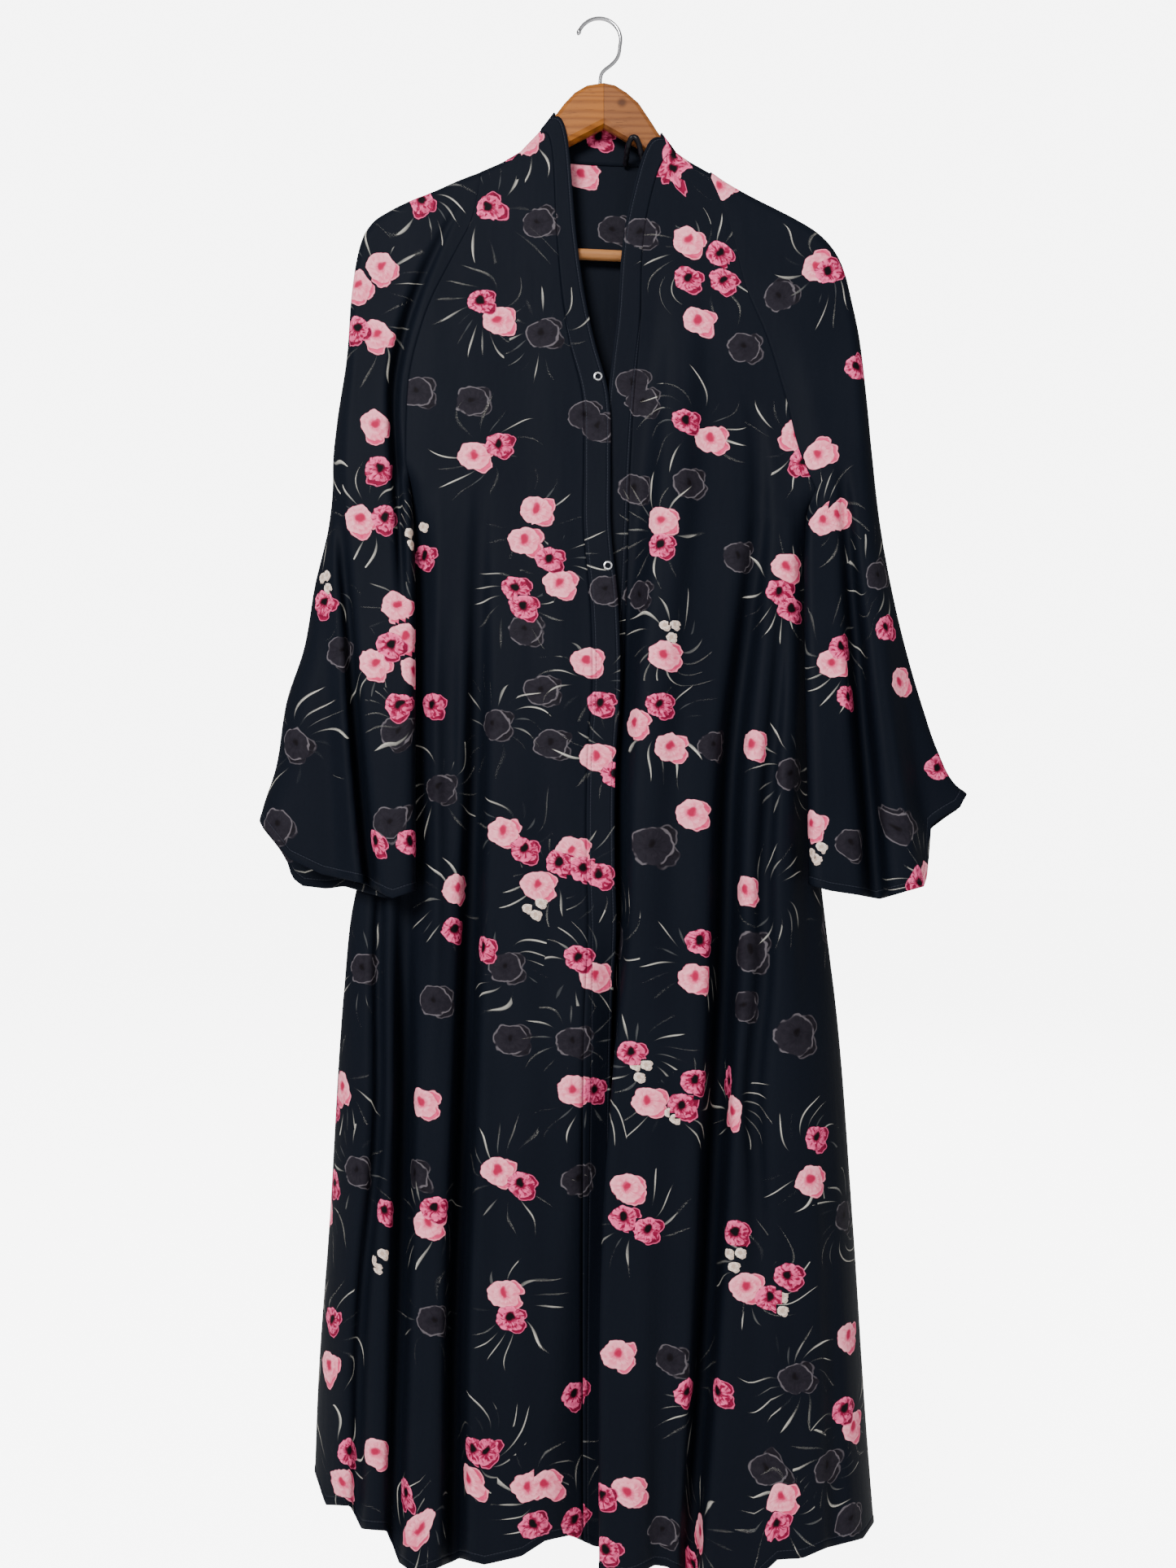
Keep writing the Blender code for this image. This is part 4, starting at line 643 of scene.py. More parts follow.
@dataclass
class ClothPatch:
    """One cut piece of cloth as a grid of points, with what its print and trim need."""

    name: str
    node: str
    slot: str
    grid: Array
    wall: float
    hem: bool = True
    marks: dict[str, Array] = field(default_factory=dict)
    measured: tuple[Array, Array] | None = None

    def lengths(self) -> tuple[Array, Array]:
        """Distances along each row and down each column."""
        if self.measured is None:
            across = np.zeros(self.grid.shape[:2])
            along = np.zeros(self.grid.shape[:2])
            across[:, 1:] = np.cumsum(np.linalg.norm(np.diff(self.grid, axis=1), axis=2), axis=1)
            along[1:] = np.cumsum(np.linalg.norm(np.diff(self.grid, axis=0), axis=2), axis=0)
            self.measured = (across, along)
        return self.measured

    def cut_size(self) -> Point:
        """Width, length and area of the piece laid flat."""
        across, along = self.lengths()
        a = self.grid[1:, 1:] - self.grid[:-1, :-1]
        b = self.grid[1:, :-1] - self.grid[:-1, 1:]
        area = float(np.linalg.norm(np.cross(a, b), axis=2).sum() / 2)
        width, length = float(across[:, -1].max()), float(along[-1].max())
        return width, length, min(area, width * length)

    def normals(self) -> Array:
        """Unit normals of the grid's points."""
        down = np.gradient(self.grid, axis=0)
        over = np.gradient(self.grid, axis=1)
        normal = np.cross(down, over)
        length = np.linalg.norm(normal, axis=2, keepdims=True)
        return normal / np.maximum(length, 1e-12)

    def thickness(self) -> Array:
        """Half of the wall at each point: doubled in the turned hem, and rounded at its edge."""
        half = np.full(self.grid.shape[:2], self.wall / 2)
        if self.hem:
            _, along = self.lengths()
            left = along[-1] - along
            half *= 1 + HEM_THICKER * (1 - ramp(left, *HEM_TURN))
            half *= EDGE_THIN + (1 - EDGE_THIN) * ramp(left, *EDGE_ROUND)
        return half

    def build(self) -> Piece:
        """Make the closed sheet with its marks on every face corner.

        Returns:
            The new object.
        """
        rows, columns = self.grid.shape[:2]
        shift = self.normals() * self.thickness()[:, :, None]
        points = np.concatenate(((self.grid + shift).reshape(-1, 3),
                                 (self.grid - shift).reshape(-1, 3)))
        index = np.arange(rows * columns).reshape(rows, columns)
        quad = np.stack((index[:-1, :-1], index[1:, :-1], index[1:, 1:], index[:-1, 1:]), axis=2)
        corner = quad.reshape(-1, 4)
        far = corner[:, ::-1] + rows * columns
        ring = np.concatenate((index[:, 0], index[-1, 1:], index[-2::-1, -1], index[0, -2:0:-1]))
        follow = np.roll(ring, -1)
        rim = np.stack((follow, ring, ring + rows * columns, follow + rows * columns), axis=1)
        faces = np.concatenate((corner, far, rim))
        mesh = bpy.data.meshes.new(self.name)
        mesh.from_pydata(points.tolist(), [], faces.tolist())
        mesh.shade_smooth()
        across, along = self.lengths()
        place = np.stack((across, along, along[-1][None, :] - along), axis=2).reshape(-1, 3)
        everywhere = np.concatenate((corner, far - rows * columns, rim % (rows * columns)))
        self.write(mesh, "cloth_place", place[everywhere.reshape(-1)])
        for mark, values in self.marks.items():
            near = values.reshape(-1, 4, 3)
            blank = np.full((len(rim), 4, 3), FAR_AWAY)
            self.write(mesh, mark, np.concatenate((near, near[:, ::-1], blank)).reshape(-1, 3))
        return put_in_scene(self.name, mesh)

    @staticmethod
    def write(mesh: bpy.types.Mesh, name: str, values: Array) -> None:
        """Store one vector for each face corner."""
        layer = mesh.attributes.new(name, "FLOAT_VECTOR", "CORNER")
        layer.data.foreach_set("vector", values.astype(np.float32).ravel())


@dataclass
class Front:
    """One front of the garment: its panel and the band along its edge."""

    hand: int
    side: str
    raglan_rows: int = 56
    skirt_rows: int = 170
    columns: int = 74
    band_columns: int = 11
    dense: int = 420
    band_dense: int = 60
    blend_share: float = 0.3
    side_slack: float = 0.012
    lift_steps: float = 4.0

    def rows(self, part: Array) -> list[Array]:
        """Dense rows of world points.

        Args:
            part: Places across each row: -1 at the front edge, 0 at the band's seam, 1 at the side.

        Returns:
            One array of points for each row, from the back of the shoulder to the hem.
        """
        hand = self.hand
        side_x, side_down, steps = side_rows(hand, self.raglan_rows, self.skirt_rows)
        seam_top = SHOULDER_SEAM_RIGHT[1] if hand < 0 else SHOULDER_SEAM_LEFT[0]
        edge = by_down(EDGE_RIGHT if hand < 0 else EDGE_LEFT)
        width = BAND_WIDTH_RIGHT if hand < 0 else BAND_WIDTH_LEFT
        hem = np.array(HEM_RIGHT if hand < 0 else HEM_LEFT)
        hem_edge = HEM_RIGHT[-1][1] if hand < 0 else HEM_LEFT[0][1]
        top = float(ridge(np.array(seam_top))) + SHOULDER_DROP
        share = (side_down - side_down[0]) / (side_down[-1] - side_down[0])
        blend = ease(share / self.blend_share)
        level = top + (hem_edge - top) * share
        beside = np.minimum(side_down + self.side_slack * share, hem_edge)
        level = level * (1 - blend) + beside * blend
        edge_x = curve(edge, level)
        seam_x = edge_x + hand * curve(width, level)
        beyond, inside = np.minimum(part, 0.0), np.maximum(part, 0.0)
        out = []
        for row, step in enumerate(steps):
            x = (seam_x[row] + (edge_x[row] - seam_x[row]) * -beyond
                 + (side_x[row] - seam_x[row]) * inside)
            down = level[row] + (side_down[row] - level[row]) * inside
            lift = max(0.0, 1 - step / self.lift_steps) ** 2
            lift = lift * (1 - inside ** 4 * min(1.0, step))
            down = down + lift * (ridge(x) + SHOULDER_DROP - down)
            hem_x = (seam_x[-1] + (edge_x[-1] - seam_x[-1]) * -beyond
                     + (side_x[-1] - seam_x[-1]) * inside)
            hem_down = level[-1] + (side_down[-1] - level[-1]) * inside
            last = ramp(step, RAGLAN_STEPS + SKIRT_STEPS - HEM_STEPS, RAGLAN_STEPS + SKIRT_STEPS)
            down = down + last * (np.interp(hem_x, *hem.T) - hem_down)
            if row == 0:
                for angle in np.radians(np.linspace(WRAP_TURN, -WRAP_TURN, SHOULDER_ROWS)[:-1]):
                    over = ridge(x) + SHOULDER_DROP * (1 - math.cos(angle))
                    out.append(in_space(x, over, SHOULDER_DEPTH * math.sin(angle)))
            y, aside = front_depth(hand, x, down)
            out.append(in_space(x + aside, down, y))
        return out

    def panel(self) -> ClothPatch:
        """The panel, from the band's seam to the side."""
        part = np.linspace(0.0, 1.0, self.dense)
        grid = np.array([even_row(row, self.columns) for row in self.rows(part)])
        return ClothPatch(f"front_{self.side}_cloth", f"front_{self.side}", "navy_crepe", grid,
                          CLOTH_WALL)

    def band(self) -> ClothPatch:
        """The band, from the front edge to its seam."""
        part = np.linspace(-1.0, 0.0, self.band_dense)
        grid = np.array([even_row(row, self.band_columns) for row in self.rows(part)])
        return ClothPatch(f"band_{self.side}_cloth", f"band_{self.side}", "navy_crepe_band",
                          grid, BAND_CLOTH_WALL)


@dataclass
class Back:
    """The back panel and the neckband above it."""

    raglan_rows: int = 56
    skirt_rows: int = 150
    columns: int = 118
    neck_columns: int = 40
    neck_rows: int = 9
    dense: int = 500
    lift_steps: float = 5.0
    lift_power: float = 1.6
    side_power: int = 6
    neck_blend_out: float = 0.004
    neck_blend_in: float = 0.002
    neck_end: float = 0.12

    def top_line(self, x: Array) -> Array:
        """Down of the panel's top: the shoulder seams and the neck seam between them."""
        shoulder = ridge(x) + SHOULDER_DROP
        first, last = NECK_SEAM[0][0], NECK_SEAM[-1][0]
        in_neck = ramp(x, first - self.neck_blend_out, first + self.neck_blend_in)
        in_neck = in_neck * (1 - ramp(x, last - self.neck_blend_in, last + self.neck_blend_out))
        return shoulder + (curve(NECK_SEAM, x) - shoulder) * in_neck + SHOULDER_SEAM_GAP

    def panel(self) -> ClothPatch:
        """The back panel, from the right side to the left."""
        right_x, right_down, steps = side_rows(-1, self.raglan_rows, self.skirt_rows)
        left_x, left_down, _ = side_rows(1, self.raglan_rows, self.skirt_rows)
        part = np.linspace(0, 1, self.dense)
        rows = []
        for row, step in enumerate(steps):
            x = right_x[row] + (left_x[row] - right_x[row]) * part
            down = right_down[row] + (left_down[row] - right_down[row]) * part
            lift = max(0.0, 1 - step / self.lift_steps) ** self.lift_power
            lift = lift * (1 - np.abs(2 * part - 1) ** self.side_power * min(1.0, step))
            down = down + lift * (self.top_line(x) - down)
            hem_x = right_x[-1] + (left_x[-1] - right_x[-1]) * part
            hem_down = right_down[-1] + (left_down[-1] - right_down[-1]) * part
            last = ramp(step, RAGLAN_STEPS + SKIRT_STEPS - HEM_STEPS, RAGLAN_STEPS + SKIRT_STEPS)
            down = down + last * (np.interp(hem_x, *np.array(HEM_BACK).T) - hem_down)
            rows.append(even_row(in_space(x, down, back_depth(x, down)), self.columns))
        return ClothPatch("back_cloth", "back_panel", "navy_crepe", np.array(rows), CLOTH_WALL)

    def neckband(self) -> ClothPatch:
        """The neckband behind the neck."""
        even = np.linspace(0, 1, self.neck_columns)
        bottom = np.column_stack(walk(NECK_SEAM, even))
        top = np.column_stack(walk(NECK_TOP, even))
        rows = []
        for part in np.linspace(0, 1, self.neck_rows):
            x = top[:, 0] + (bottom[:, 0] - top[:, 0]) * part
            down = top[:, 1] + (bottom[:, 1] - top[:, 1]) * part
            ends = np.maximum(1 - ramp(even, 0.0, self.neck_end),
                              ramp(even, 1.0 - self.neck_end, 1.0))
            down = down + SHOULDER_SEAM_GAP * ends + NECK_SEAM_LAP * part
            rows.append(in_space(x, down, back_depth(x, down) - NECK_SEAM_LAP * part / 2))
        return ClothPatch("neckband_cloth", "neckband_back", "navy_crepe_band",
                          np.array(rows), BAND_CLOTH_WALL, hem=False)


@dataclass
class BellSleeve:
    """One raglan sleeve, from the front seam round the arm to the back seam."""

    hand: int
    side: str
    raglan_rows: int = 60
    cuff_rows: int = 84
    columns: int = 82
    dense: int = 260
    turn_share: float = 0.3
    hem_start: float = 0.55
    seam_blend: float = 0.35
    back_blend: tuple[float, float] = (0.25, 0.40)

    def build(self) -> ClothPatch:
        """The sleeve in one cut piece."""
        hand = self.hand
        sleeve = SLEEVE_RIGHT if hand < 0 else SLEEVE_LEFT
        raglan = RAGLAN_RIGHT if hand < 0 else RAGLAN_LEFT
        underarm = raglan[-1][1]
        upper = walk(raglan, np.linspace(0, 1, self.raglan_rows, endpoint=False))
        cuff = sleeve.inner[-1][1] - sleeve.inner[0][1]
        lower = walk(sleeve.inner, edge_parts(cuff, self.cuff_rows))
        in_down = np.concatenate((upper[1], lower[1]))
        in_x = np.concatenate((upper[0], lower[0])) + hand * SEAM_GAP
        steps = np.hypot(np.diff(in_x), np.diff(in_down))
        lengths = np.concatenate(([0.0], np.cumsum(steps)))
        share = lengths / lengths[-1]
        out_x, out_down = walk(sleeve.outer, share)
        out_x[0] = in_x[0]
        rows = []
        for row in range(len(in_x)):
            ends = (in_x[row], in_down[row], out_x[row], out_down[row])
            closed = float(ramp(in_down[row], underarm, underarm + UNDERARM_BLEND))
            front = self.half_row(sleeve, ends, share[row], closed, True)
            back = self.half_row(sleeve, ends, share[row], closed, False)
            rows.append(even_row(np.vstack((front, back[::-1][1:])), self.columns))
        return ClothPatch(f"sleeve_{self.side}_cloth", f"sleeve_{self.side}", "navy_crepe",
                          np.array(rows), CLOTH_WALL)

    def half_row(self, sleeve: SleeveCut, ends: tuple[float, float, float, float], share: float,
                 closed: float, is_front: bool) -> Array:
        """One row of the sleeve's front or back.

        Args:
            sleeve: The sleeve's tables.
            ends: x and down of the row's seam end, then of its outer end.
            share: How far down the sleeve the row lies, 0 to 1.
            closed: 0 above the underarm, where the sleeve opens into the body, and 1 below it.
            is_front: True for the front layer.

        Returns:
            World points from the seam to the outer edge.
        """
        in_x, in_down, out_x, out_down = ends
        length = math.hypot(out_x - in_x, out_down - in_down)
        outer_turn = min(float(curve(SLEEVE_OUTER_TURN, out_down)), length)
        inner_turn = min(SLEEVE_INNER_TURN, self.turn_share * length)
        part = np.sin(np.linspace(-0.5, 0.5, self.dense) * math.pi) / 2 + 0.5
        x = in_x + (out_x - in_x) * part
        down = in_down + (out_down - in_down) * part
        hem = np.array(sleeve.hem_front if is_front else sleeve.hem_back)
        down = down + np.interp(part, hem[:, 0], hem[:, 1]) * ramp(share, self.hem_start, 1.0)
        from_in = np.clip(part * length / inner_turn, 0, 1)
        from_out = np.clip((1 - part) * length / outer_turn, 0, 1)
        round_in = 1 + (np.sqrt(1 - (1 - from_in) ** 2) - 1) * closed
        round_out = np.sqrt(1 - (1 - from_out) ** 2)
        inner_y = float(curve(SLEEVE_INNER_Y, in_down))
        outer_y = curve(SLEEVE_OUTER_Y, out_down)
        place = np.array([in_x]), np.array([in_down])
        if is_front:
            seam_y = float(front_depth(self.hand, *place)[0][0])
            reach = ease(part / self.seam_blend) * (1 - closed) + closed
            back, _ = fold_offset(sleeve.folds, x, down, self.hand)
            plane = seam_y + (curve(SLEEVE_FRONT_PLANE, down) - seam_y) * reach + back
            plane = plane + ripples(x, down, SLEEVE_RIPPLE) * reach
            edge_y = seam_y + (inner_y - SEAM_GAP / 2 - seam_y) * closed
        else:
            seam_y = float(back_depth(*place)[0])
            far = curve(SLEEVE_BACK_PLANE, down)
            open_plane = seam_y + (far - seam_y) * ease(part / self.seam_blend)
            near = inner_y + SLEEVE_BACK_LAYER
            start, width = self.back_blend
            shut_plane = near + (far - near) * ease((part - start) / width)
            plane = open_plane + (shut_plane - open_plane) * closed
            edge_y = seam_y + (inner_y + SEAM_GAP / 2 - seam_y) * closed
        y = edge_y + (plane - edge_y) * round_in
        return in_space(x, down, outer_y + (y - outer_y) * round_out)


# The printed flowers

FAR_AWAY = 9.0
BLOSSOM_SEED = 10.0
REACH = 1.60
WINDOW = 1.8
GOLDEN_ANGLE = 2.399
GOLDEN_SHARE = 0.618
LEAST_SINE_SQUARED = 0.05
BLOSSOM_CLUSTER = ((-8, -5), (6, -9), (2, 7))
ACROSS_SEAM = {"front_right": "band_right", "band_right": "front_right",
               "front_left": "band_left", "band_left": "front_left"}


class Bloom(Enum):
    """The kinds of flower in the print, each with the layer it is painted in."""

    GHOST = "print_ghost"
    SPRAY = "print_spray"
    ROSE = "print_rose"
    POPPY = "print_poppy"


@dataclass(frozen=True)
class Motif:
    """One flower, at its place in the photograph, with its radius in metres."""

    kind: Bloom
    across_px: float
    down_px: float
    radius: float
    blossom: bool = False


ROSES = (
    (715, 215), (885, 228), (465, 330), (440, 350), (462, 410), (610, 393), (843, 300), (857, 397),
    (1005, 328), (462, 522), (581, 557), (873, 538), (440, 638), (660, 627), (643, 661), (685, 715),
    (810, 640), (1005, 560), (1012, 640), (1033, 635), (965, 697), (490, 745), (497, 785),
    (460, 815), (515, 823), (722, 815), (770, 890), (733, 930), (818, 805), (823, 917), (920, 915),
    (1023, 815), (1112, 840), (850, 1002), (620, 1020), (663, 1088), (700, 1045), (563, 1092),
    (990, 1010), (910, 1095), (852, 1205), (730, 1200), (515, 1353), (703, 1338), (797, 1355),
    (610, 1440), (998, 1447), (770, 1460), (523, 1505), (915, 1580), (622, 1588), (757, 1665),
    (1055, 1755), (1050, 1643), (397, 1675), (570, 1815), (417, 1825), (460, 1787), (647, 1823),
    (675, 1825), (772, 1830), (962, 1840)
)
POPPIES = (
    (520, 245), (600, 255), (737, 172), (828, 190), (436, 405), (590, 372), (845, 345), (885, 312),
    (888, 345), (1018, 332), (1052, 450), (614, 545), (843, 518), (466, 578), (472, 635),
    (520, 685), (675, 690), (634, 723), (644, 748), (812, 672), (958, 730), (975, 750), (395, 740),
    (478, 795), (487, 868), (523, 863), (738, 862), (755, 955), (812, 868), (1035, 795),
    (1050, 855), (1095, 770), (1152, 945), (645, 1042), (685, 1058), (715, 1070), (735, 1075),
    (513, 1033), (455, 1035), (558, 1140), (585, 1165), (858, 1157), (712, 1180), (732, 1337),
    (775, 1292), (835, 1355), (857, 1325), (640, 1455), (1010, 1400), (768, 1500), (795, 1508),
    (478, 1485), (535, 1485), (905, 1512), (945, 1590), (970, 1565), (628, 1622), (708, 1715),
    (847, 1710), (873, 1712), (1042, 1732), (400, 1620), (580, 1778), (600, 1785), (430, 1785),
    (955, 1875), (660, 1875), (705, 1870), (738, 1840), (740, 1900)
)
BLOSSOMS = (
    (512, 660), (395, 715), (825, 775), (658, 1120), (785, 1315), (830, 1370), (460, 1550),
    (900, 1545), (958, 1600), (1000, 1050)
)
GHOSTS = (
    (660, 272), (755, 285), (785, 290), (668, 408), (580, 490), (512, 480), (718, 510), (735, 525),
    (778, 470), (790, 495), (958, 365), (915, 425), (848, 595), (779, 603), (745, 725), (778, 728),
    (910, 685), (1080, 705), (362, 915), (338, 1012), (422, 800), (605, 893), (677, 912),
    (880, 915), (975, 950), (540, 965), (665, 850), (645, 778), (446, 1187), (620, 1187),
    (535, 1228), (625, 1275), (703, 1278), (910, 1235), (437, 1440), (503, 1440), (715, 1448),
    (1045, 1490), (535, 1620), (975, 1692), (825, 1668), (940, 1805), (1022, 1798), (815, 1880),
    (1050, 1865), (1108, 1020), (480, 1010), (490, 900), (1045, 1035)
)
LARGE_GHOSTS = ((800, 1035), (932, 1168), (980, 1270))
SPRAYS = (
    (520, 245), (600, 255), (885, 325), (850, 320), (457, 340), (450, 407), (600, 382), (1011, 330),
    (598, 551), (858, 528), (455, 637), (516, 672), (652, 644), (680, 702), (640, 735), (811, 656),
    (1022, 637), (965, 725), (395, 728), (493, 765), (470, 805), (505, 866), (730, 838), (762, 922),
    (821, 790), (817, 892), (1030, 805), (632, 1030), (674, 1073), (722, 1072), (560, 1116),
    (855, 1181), (721, 1190), (717, 1337), (785, 1303), (832, 1362), (625, 1447), (1004, 1423),
    (781, 1504), (529, 1495), (925, 1575), (625, 1605), (860, 1711), (1048, 1743), (398, 1647),
    (590, 1782), (425, 1805), (661, 1824), (958, 1857), (705, 1860), (940, 1100), (668, 408),
    (605, 893), (975, 950), (446, 1187), (620, 1187), (703, 1278), (437, 1440), (1045, 1490),
    (535, 1620), (975, 1692), (1022, 1798), (362, 915), (1080, 705), (540, 965)
)
"""Places of the flowers, as read from the photograph, in its pixels."""


@dataclass
class PrintChart:
    """Lays the flowers on the cut pieces: those that the photograph shows, then a repeat."""

    rose: float = 0.0188
    poppy: float = 0.0162
    blossom: float = 0.0062
    ghost: float = 0.0200
    large_ghost: float = 0.0265
    spray: float = 0.0460
    repeat: tuple[float, float] = (0.105, 0.092)
    clear: float = 0.070
    found_within: float = 0.0075
    seed: int = 11
    first_number: int = 1000
    number_step: int = 7
    repeat_start: tuple[float, float] = (0.02, 0.03)
    jog: float = 0.018
    off_cloth: float = 0.02
    ghost_share: float = 0.38
    beside: tuple[int, int] = (3, 6)
    placed: list[tuple[int, int, int]] = field(default_factory=list)

    def motifs(self) -> list[Motif]:
        """Every flower that the photograph shows."""
        return ([Motif(Bloom.GHOST, *at, self.ghost) for at in GHOSTS]
                + [Motif(Bloom.GHOST, *at, self.large_ghost) for at in LARGE_GHOSTS]
                + [Motif(Bloom.SPRAY, *at, self.spray) for at in SPRAYS]
                + [Motif(Bloom.ROSE, *at, self.rose) for at in ROSES]
                + [Motif(Bloom.POPPY, *at, self.poppy) for at in POPPIES]
                + [Motif(Bloom.POPPY, x + aside, y + below, self.blossom, True)
                   for x, y in BLOSSOMS for aside, below in BLOSSOM_CLUSTER])

    def lay(self, patches: list[ClothPatch]) -> None:
        """Write every flower into the marks of the cut pieces.

        Args:
            patches: The cut pieces.
        """
        for patch in patches:
            rows, columns = patch.grid.shape[:2]
            for kind in Bloom:
                patch.marks[kind.value] = np.full((rows - 1, columns - 1, 4, 3), FAR_AWAY)
        seen = [self.seen_from_front(patch) for patch in patches]
        for number, motif in enumerate(self.motifs()):
            found = self.find(motif, seen)
            if found is None:
                LOG.info("no cloth under the flower at %s", (motif.across_px, motif.down_px))
                continue
            self.stamp(patches[found[0]], motif.kind, found[1], found[2], motif.radius,
                       number, motif.blossom)
            self.carry_over(patches, found, motif, number)
            self.placed.append(found)
        self.fill(patches)

    def seen_from_front(self, patch: ClothPatch) -> tuple[Array, Array, Array]:
        """x and down of a patch's points as the eye sees them, and their depth."""
        near = 1 + patch.grid[:, :, 1] / EYE_DISTANCE
        x = EYE_X + (patch.grid[:, :, 0] - EYE_X) / near
        down = EYE_DOWN + (-patch.grid[:, :, 2] - EYE_DOWN) / near
        return x, down, patch.grid[:, :, 1]

    def find(self, motif: Motif, seen: list[tuple[Array, Array, Array]]
             ) -> tuple[int, int, int] | None:
        """Find the cloth that shows at a flower's place.

        Args:
            motif: The flower.
            seen: What the eye sees of each patch.

        Returns:
            The patch's number, the row and the column, or None where no cloth shows.
        """
        x = (motif.across_px - PHOTO_ORIGIN[0]) * PHOTO_SCALE
        down = (motif.down_px - PHOTO_ORIGIN[1]) * PHOTO_SCALE
        best = None
        for number, (across, below, depth) in enumerate(seen):
            gap = np.hypot(across - x, below - down)
            score = np.where(gap < self.found_within, depth + gap, FAR_AWAY)
            at = np.unravel_index(int(score.argmin()), score.shape)
            if score[at] < FAR_AWAY and (best is None or score[at] < best[0]):
                best = (float(score[at]), number, int(at[0]), int(at[1]))
        return None if best is None else best[1:]

    def fill(self, patches: list[ClothPatch]) -> None:
        """Repeat clusters of flowers over cloth that the photograph doesn't show."""
        chance = np.random.default_rng(self.seed)
        number = self.first_number
        for patch in patches:
            if patch.node in ("band_right", "band_left"):
                continue
            across, along = patch.lengths()
            taken = [(across[r, c], along[r, c]) for n, r, c in self.placed
                     if patches[n] is patch]
            width, length = across[:, -1].max(), along[:, 0].max()
            for line, v in enumerate(np.arange(self.repeat_start[1], length, self.repeat[1])):
                shift = (line % 2) * self.repeat[0] / 2
                for u in np.arange(self.repeat_start[0] + shift, width, self.repeat[0]):
                    jog = chance.uniform(-self.jog, self.jog, 2)
                    row = int(np.abs(along[:, 0] - v - jog[0]).argmin())
                    column = int(np.abs(across[row] - u - jog[1]).argmin())
                    if abs(across[row, column] - u - jog[1]) > self.off_cloth:
                        continue
                    here = (across[row, column], along[row, column])
                    number += self.number_step
                    if any(math.dist(here, there) < self.clear for there in taken):
                        continue
                    taken.append(here)
                    self.cluster(patch, row, column, number, chance)

    def cluster(self, patch: ClothPatch, row: int, column: int, number: int,
                chance: np.random.Generator) -> None:
        """One cluster of the repeat.

        Args:
            patch: The cut piece.
            row: The row of the cluster's middle.
            column: The column of the cluster's middle.
            number: The cluster's own number.
            chance: Where its small differences come from.
        """
        if chance.uniform() < self.ghost_share:
            self.stamp(patch, Bloom.GHOST, row, column, self.ghost, number)
            self.stamp(patch, Bloom.SPRAY, row, column, self.spray, number + 1)
            return
        self.stamp(patch, Bloom.SPRAY, row, column, self.spray, number)
        self.stamp(patch, Bloom.ROSE, row, column, self.rose, number + 1)
        step = np.array(chance.integers(*self.beside, 2)) * np.sign(chance.uniform(-1, 1, 2))
        beside = np.clip(np.array([row, column]) + step.astype(int), 0,
                         np.array(patch.grid.shape[:2]) - 2)
        self.stamp(patch, Bloom.POPPY, int(beside[0]), int(beside[1]), self.poppy, number + 2)

    def carry_over(self, patches: list[ClothPatch], found: tuple[int, int, int], motif: Motif,
                   number: int) -> None:
        """Let a flower run on over the seam between a front and its band.

        Args:
            patches: The cut pieces.
            found: The flower's patch, row and column.
            motif: The flower.
            number: Its own number.
        """
        first = patches[found[0]]
        centre = first.grid[found[1], found[2]]
        for other in patches:
            if other.node != ACROSS_SEAM.get(first.node):
                continue
            gaps = np.linalg.norm(other.grid - centre, axis=2)
            at = np.unravel_index(int(gaps.argmin()), gaps.shape)
            if gaps[at] < REACH * motif.radius:
                self.stamp(other, motif.kind, int(at[0]), int(at[1]), motif.radius, number,
                           motif.blossom, centre)

    def stamp(self, patch: ClothPatch, kind: Bloom, row: int, column: int, radius: float,
              number: int, blossom: bool = False, centre: Array | None = None) -> None:
        """Write one flower's own coordinates on the faces that it reaches.

        Args:
            patch: The cut piece.
            kind: The kind of flower.
            row: The row of its middle.
            column: The column of its middle.
            radius: Its radius.
            number: Its own number, which turns it and varies its petals.
            blossom: True for a small pale blossom.
            centre: Its middle, where that lies beyond this patch.
        """
        marks = patch.marks[kind.value]
        across, along = patch.lengths()
        window, here = WINDOW * radius, along[row, column]
        top = max(0, int(np.searchsorted(along[:, column], here - window)) - 1)
        foot = int(np.searchsorted(along[:, column], here + window)) + 1
        rows = slice(top, min(foot + 1, patch.grid.shape[0]))
        cell = max(float(across[row, -1]) / (patch.grid.shape[1] - 1), 1e-5)
        half = int(window / cell) + 2
        columns = slice(max(0, column - half), min(column + half + 1, patch.grid.shape[1]))
        middle = patch.grid[row, column]
        over = patch.grid[row, min(column + 1, patch.grid.shape[1] - 1)] - middle
        over = over if np.linalg.norm(over) > 0 else middle - patch.grid[row, column - 1]
        below = patch.grid[min(row + 1, patch.grid.shape[0] - 1), column] - middle
        below = below if np.linalg.norm(below) > 0 else middle - patch.grid[row - 1, column]
        over, below = over / np.linalg.norm(over), below / np.linalg.norm(below)
        cosine = float(over @ below)
        beyond = middle * 0 if centre is None else centre - middle
        du = across[rows, columns] - across[rows, column][:, None] - beyond @ over
        dv = (along[rows, column] - along[row, column])[:, None] + 0 * du - beyond @ below
        u = (du + dv * cosine) / radius * (1 if over[0] >= 0 else -1)
        v = dv * math.sqrt(max(1 - cosine ** 2, LEAST_SINE_SQUARED)) / radius
        turn = (number * GOLDEN_ANGLE) % math.tau
        turned = np.stack((u * math.cos(turn) - v * math.sin(turn),
                           u * math.sin(turn) + v * math.cos(turn)), axis=2)
        faces = np.stack((turned[:-1, :-1], turned[1:, :-1], turned[1:, 1:], turned[:-1, 1:]),
                         axis=2)
        if faces.size == 0:
            return
        near = np.linalg.norm(faces.mean(axis=2), axis=2)
        reached = marks[rows.start:rows.start + faces.shape[0],
                        columns.start:columns.start + faces.shape[1]]
        held = np.linalg.norm(reached[:, :, :, :2].mean(axis=2), axis=2)
        wins = (near < REACH + cell / radius) & (near < held)
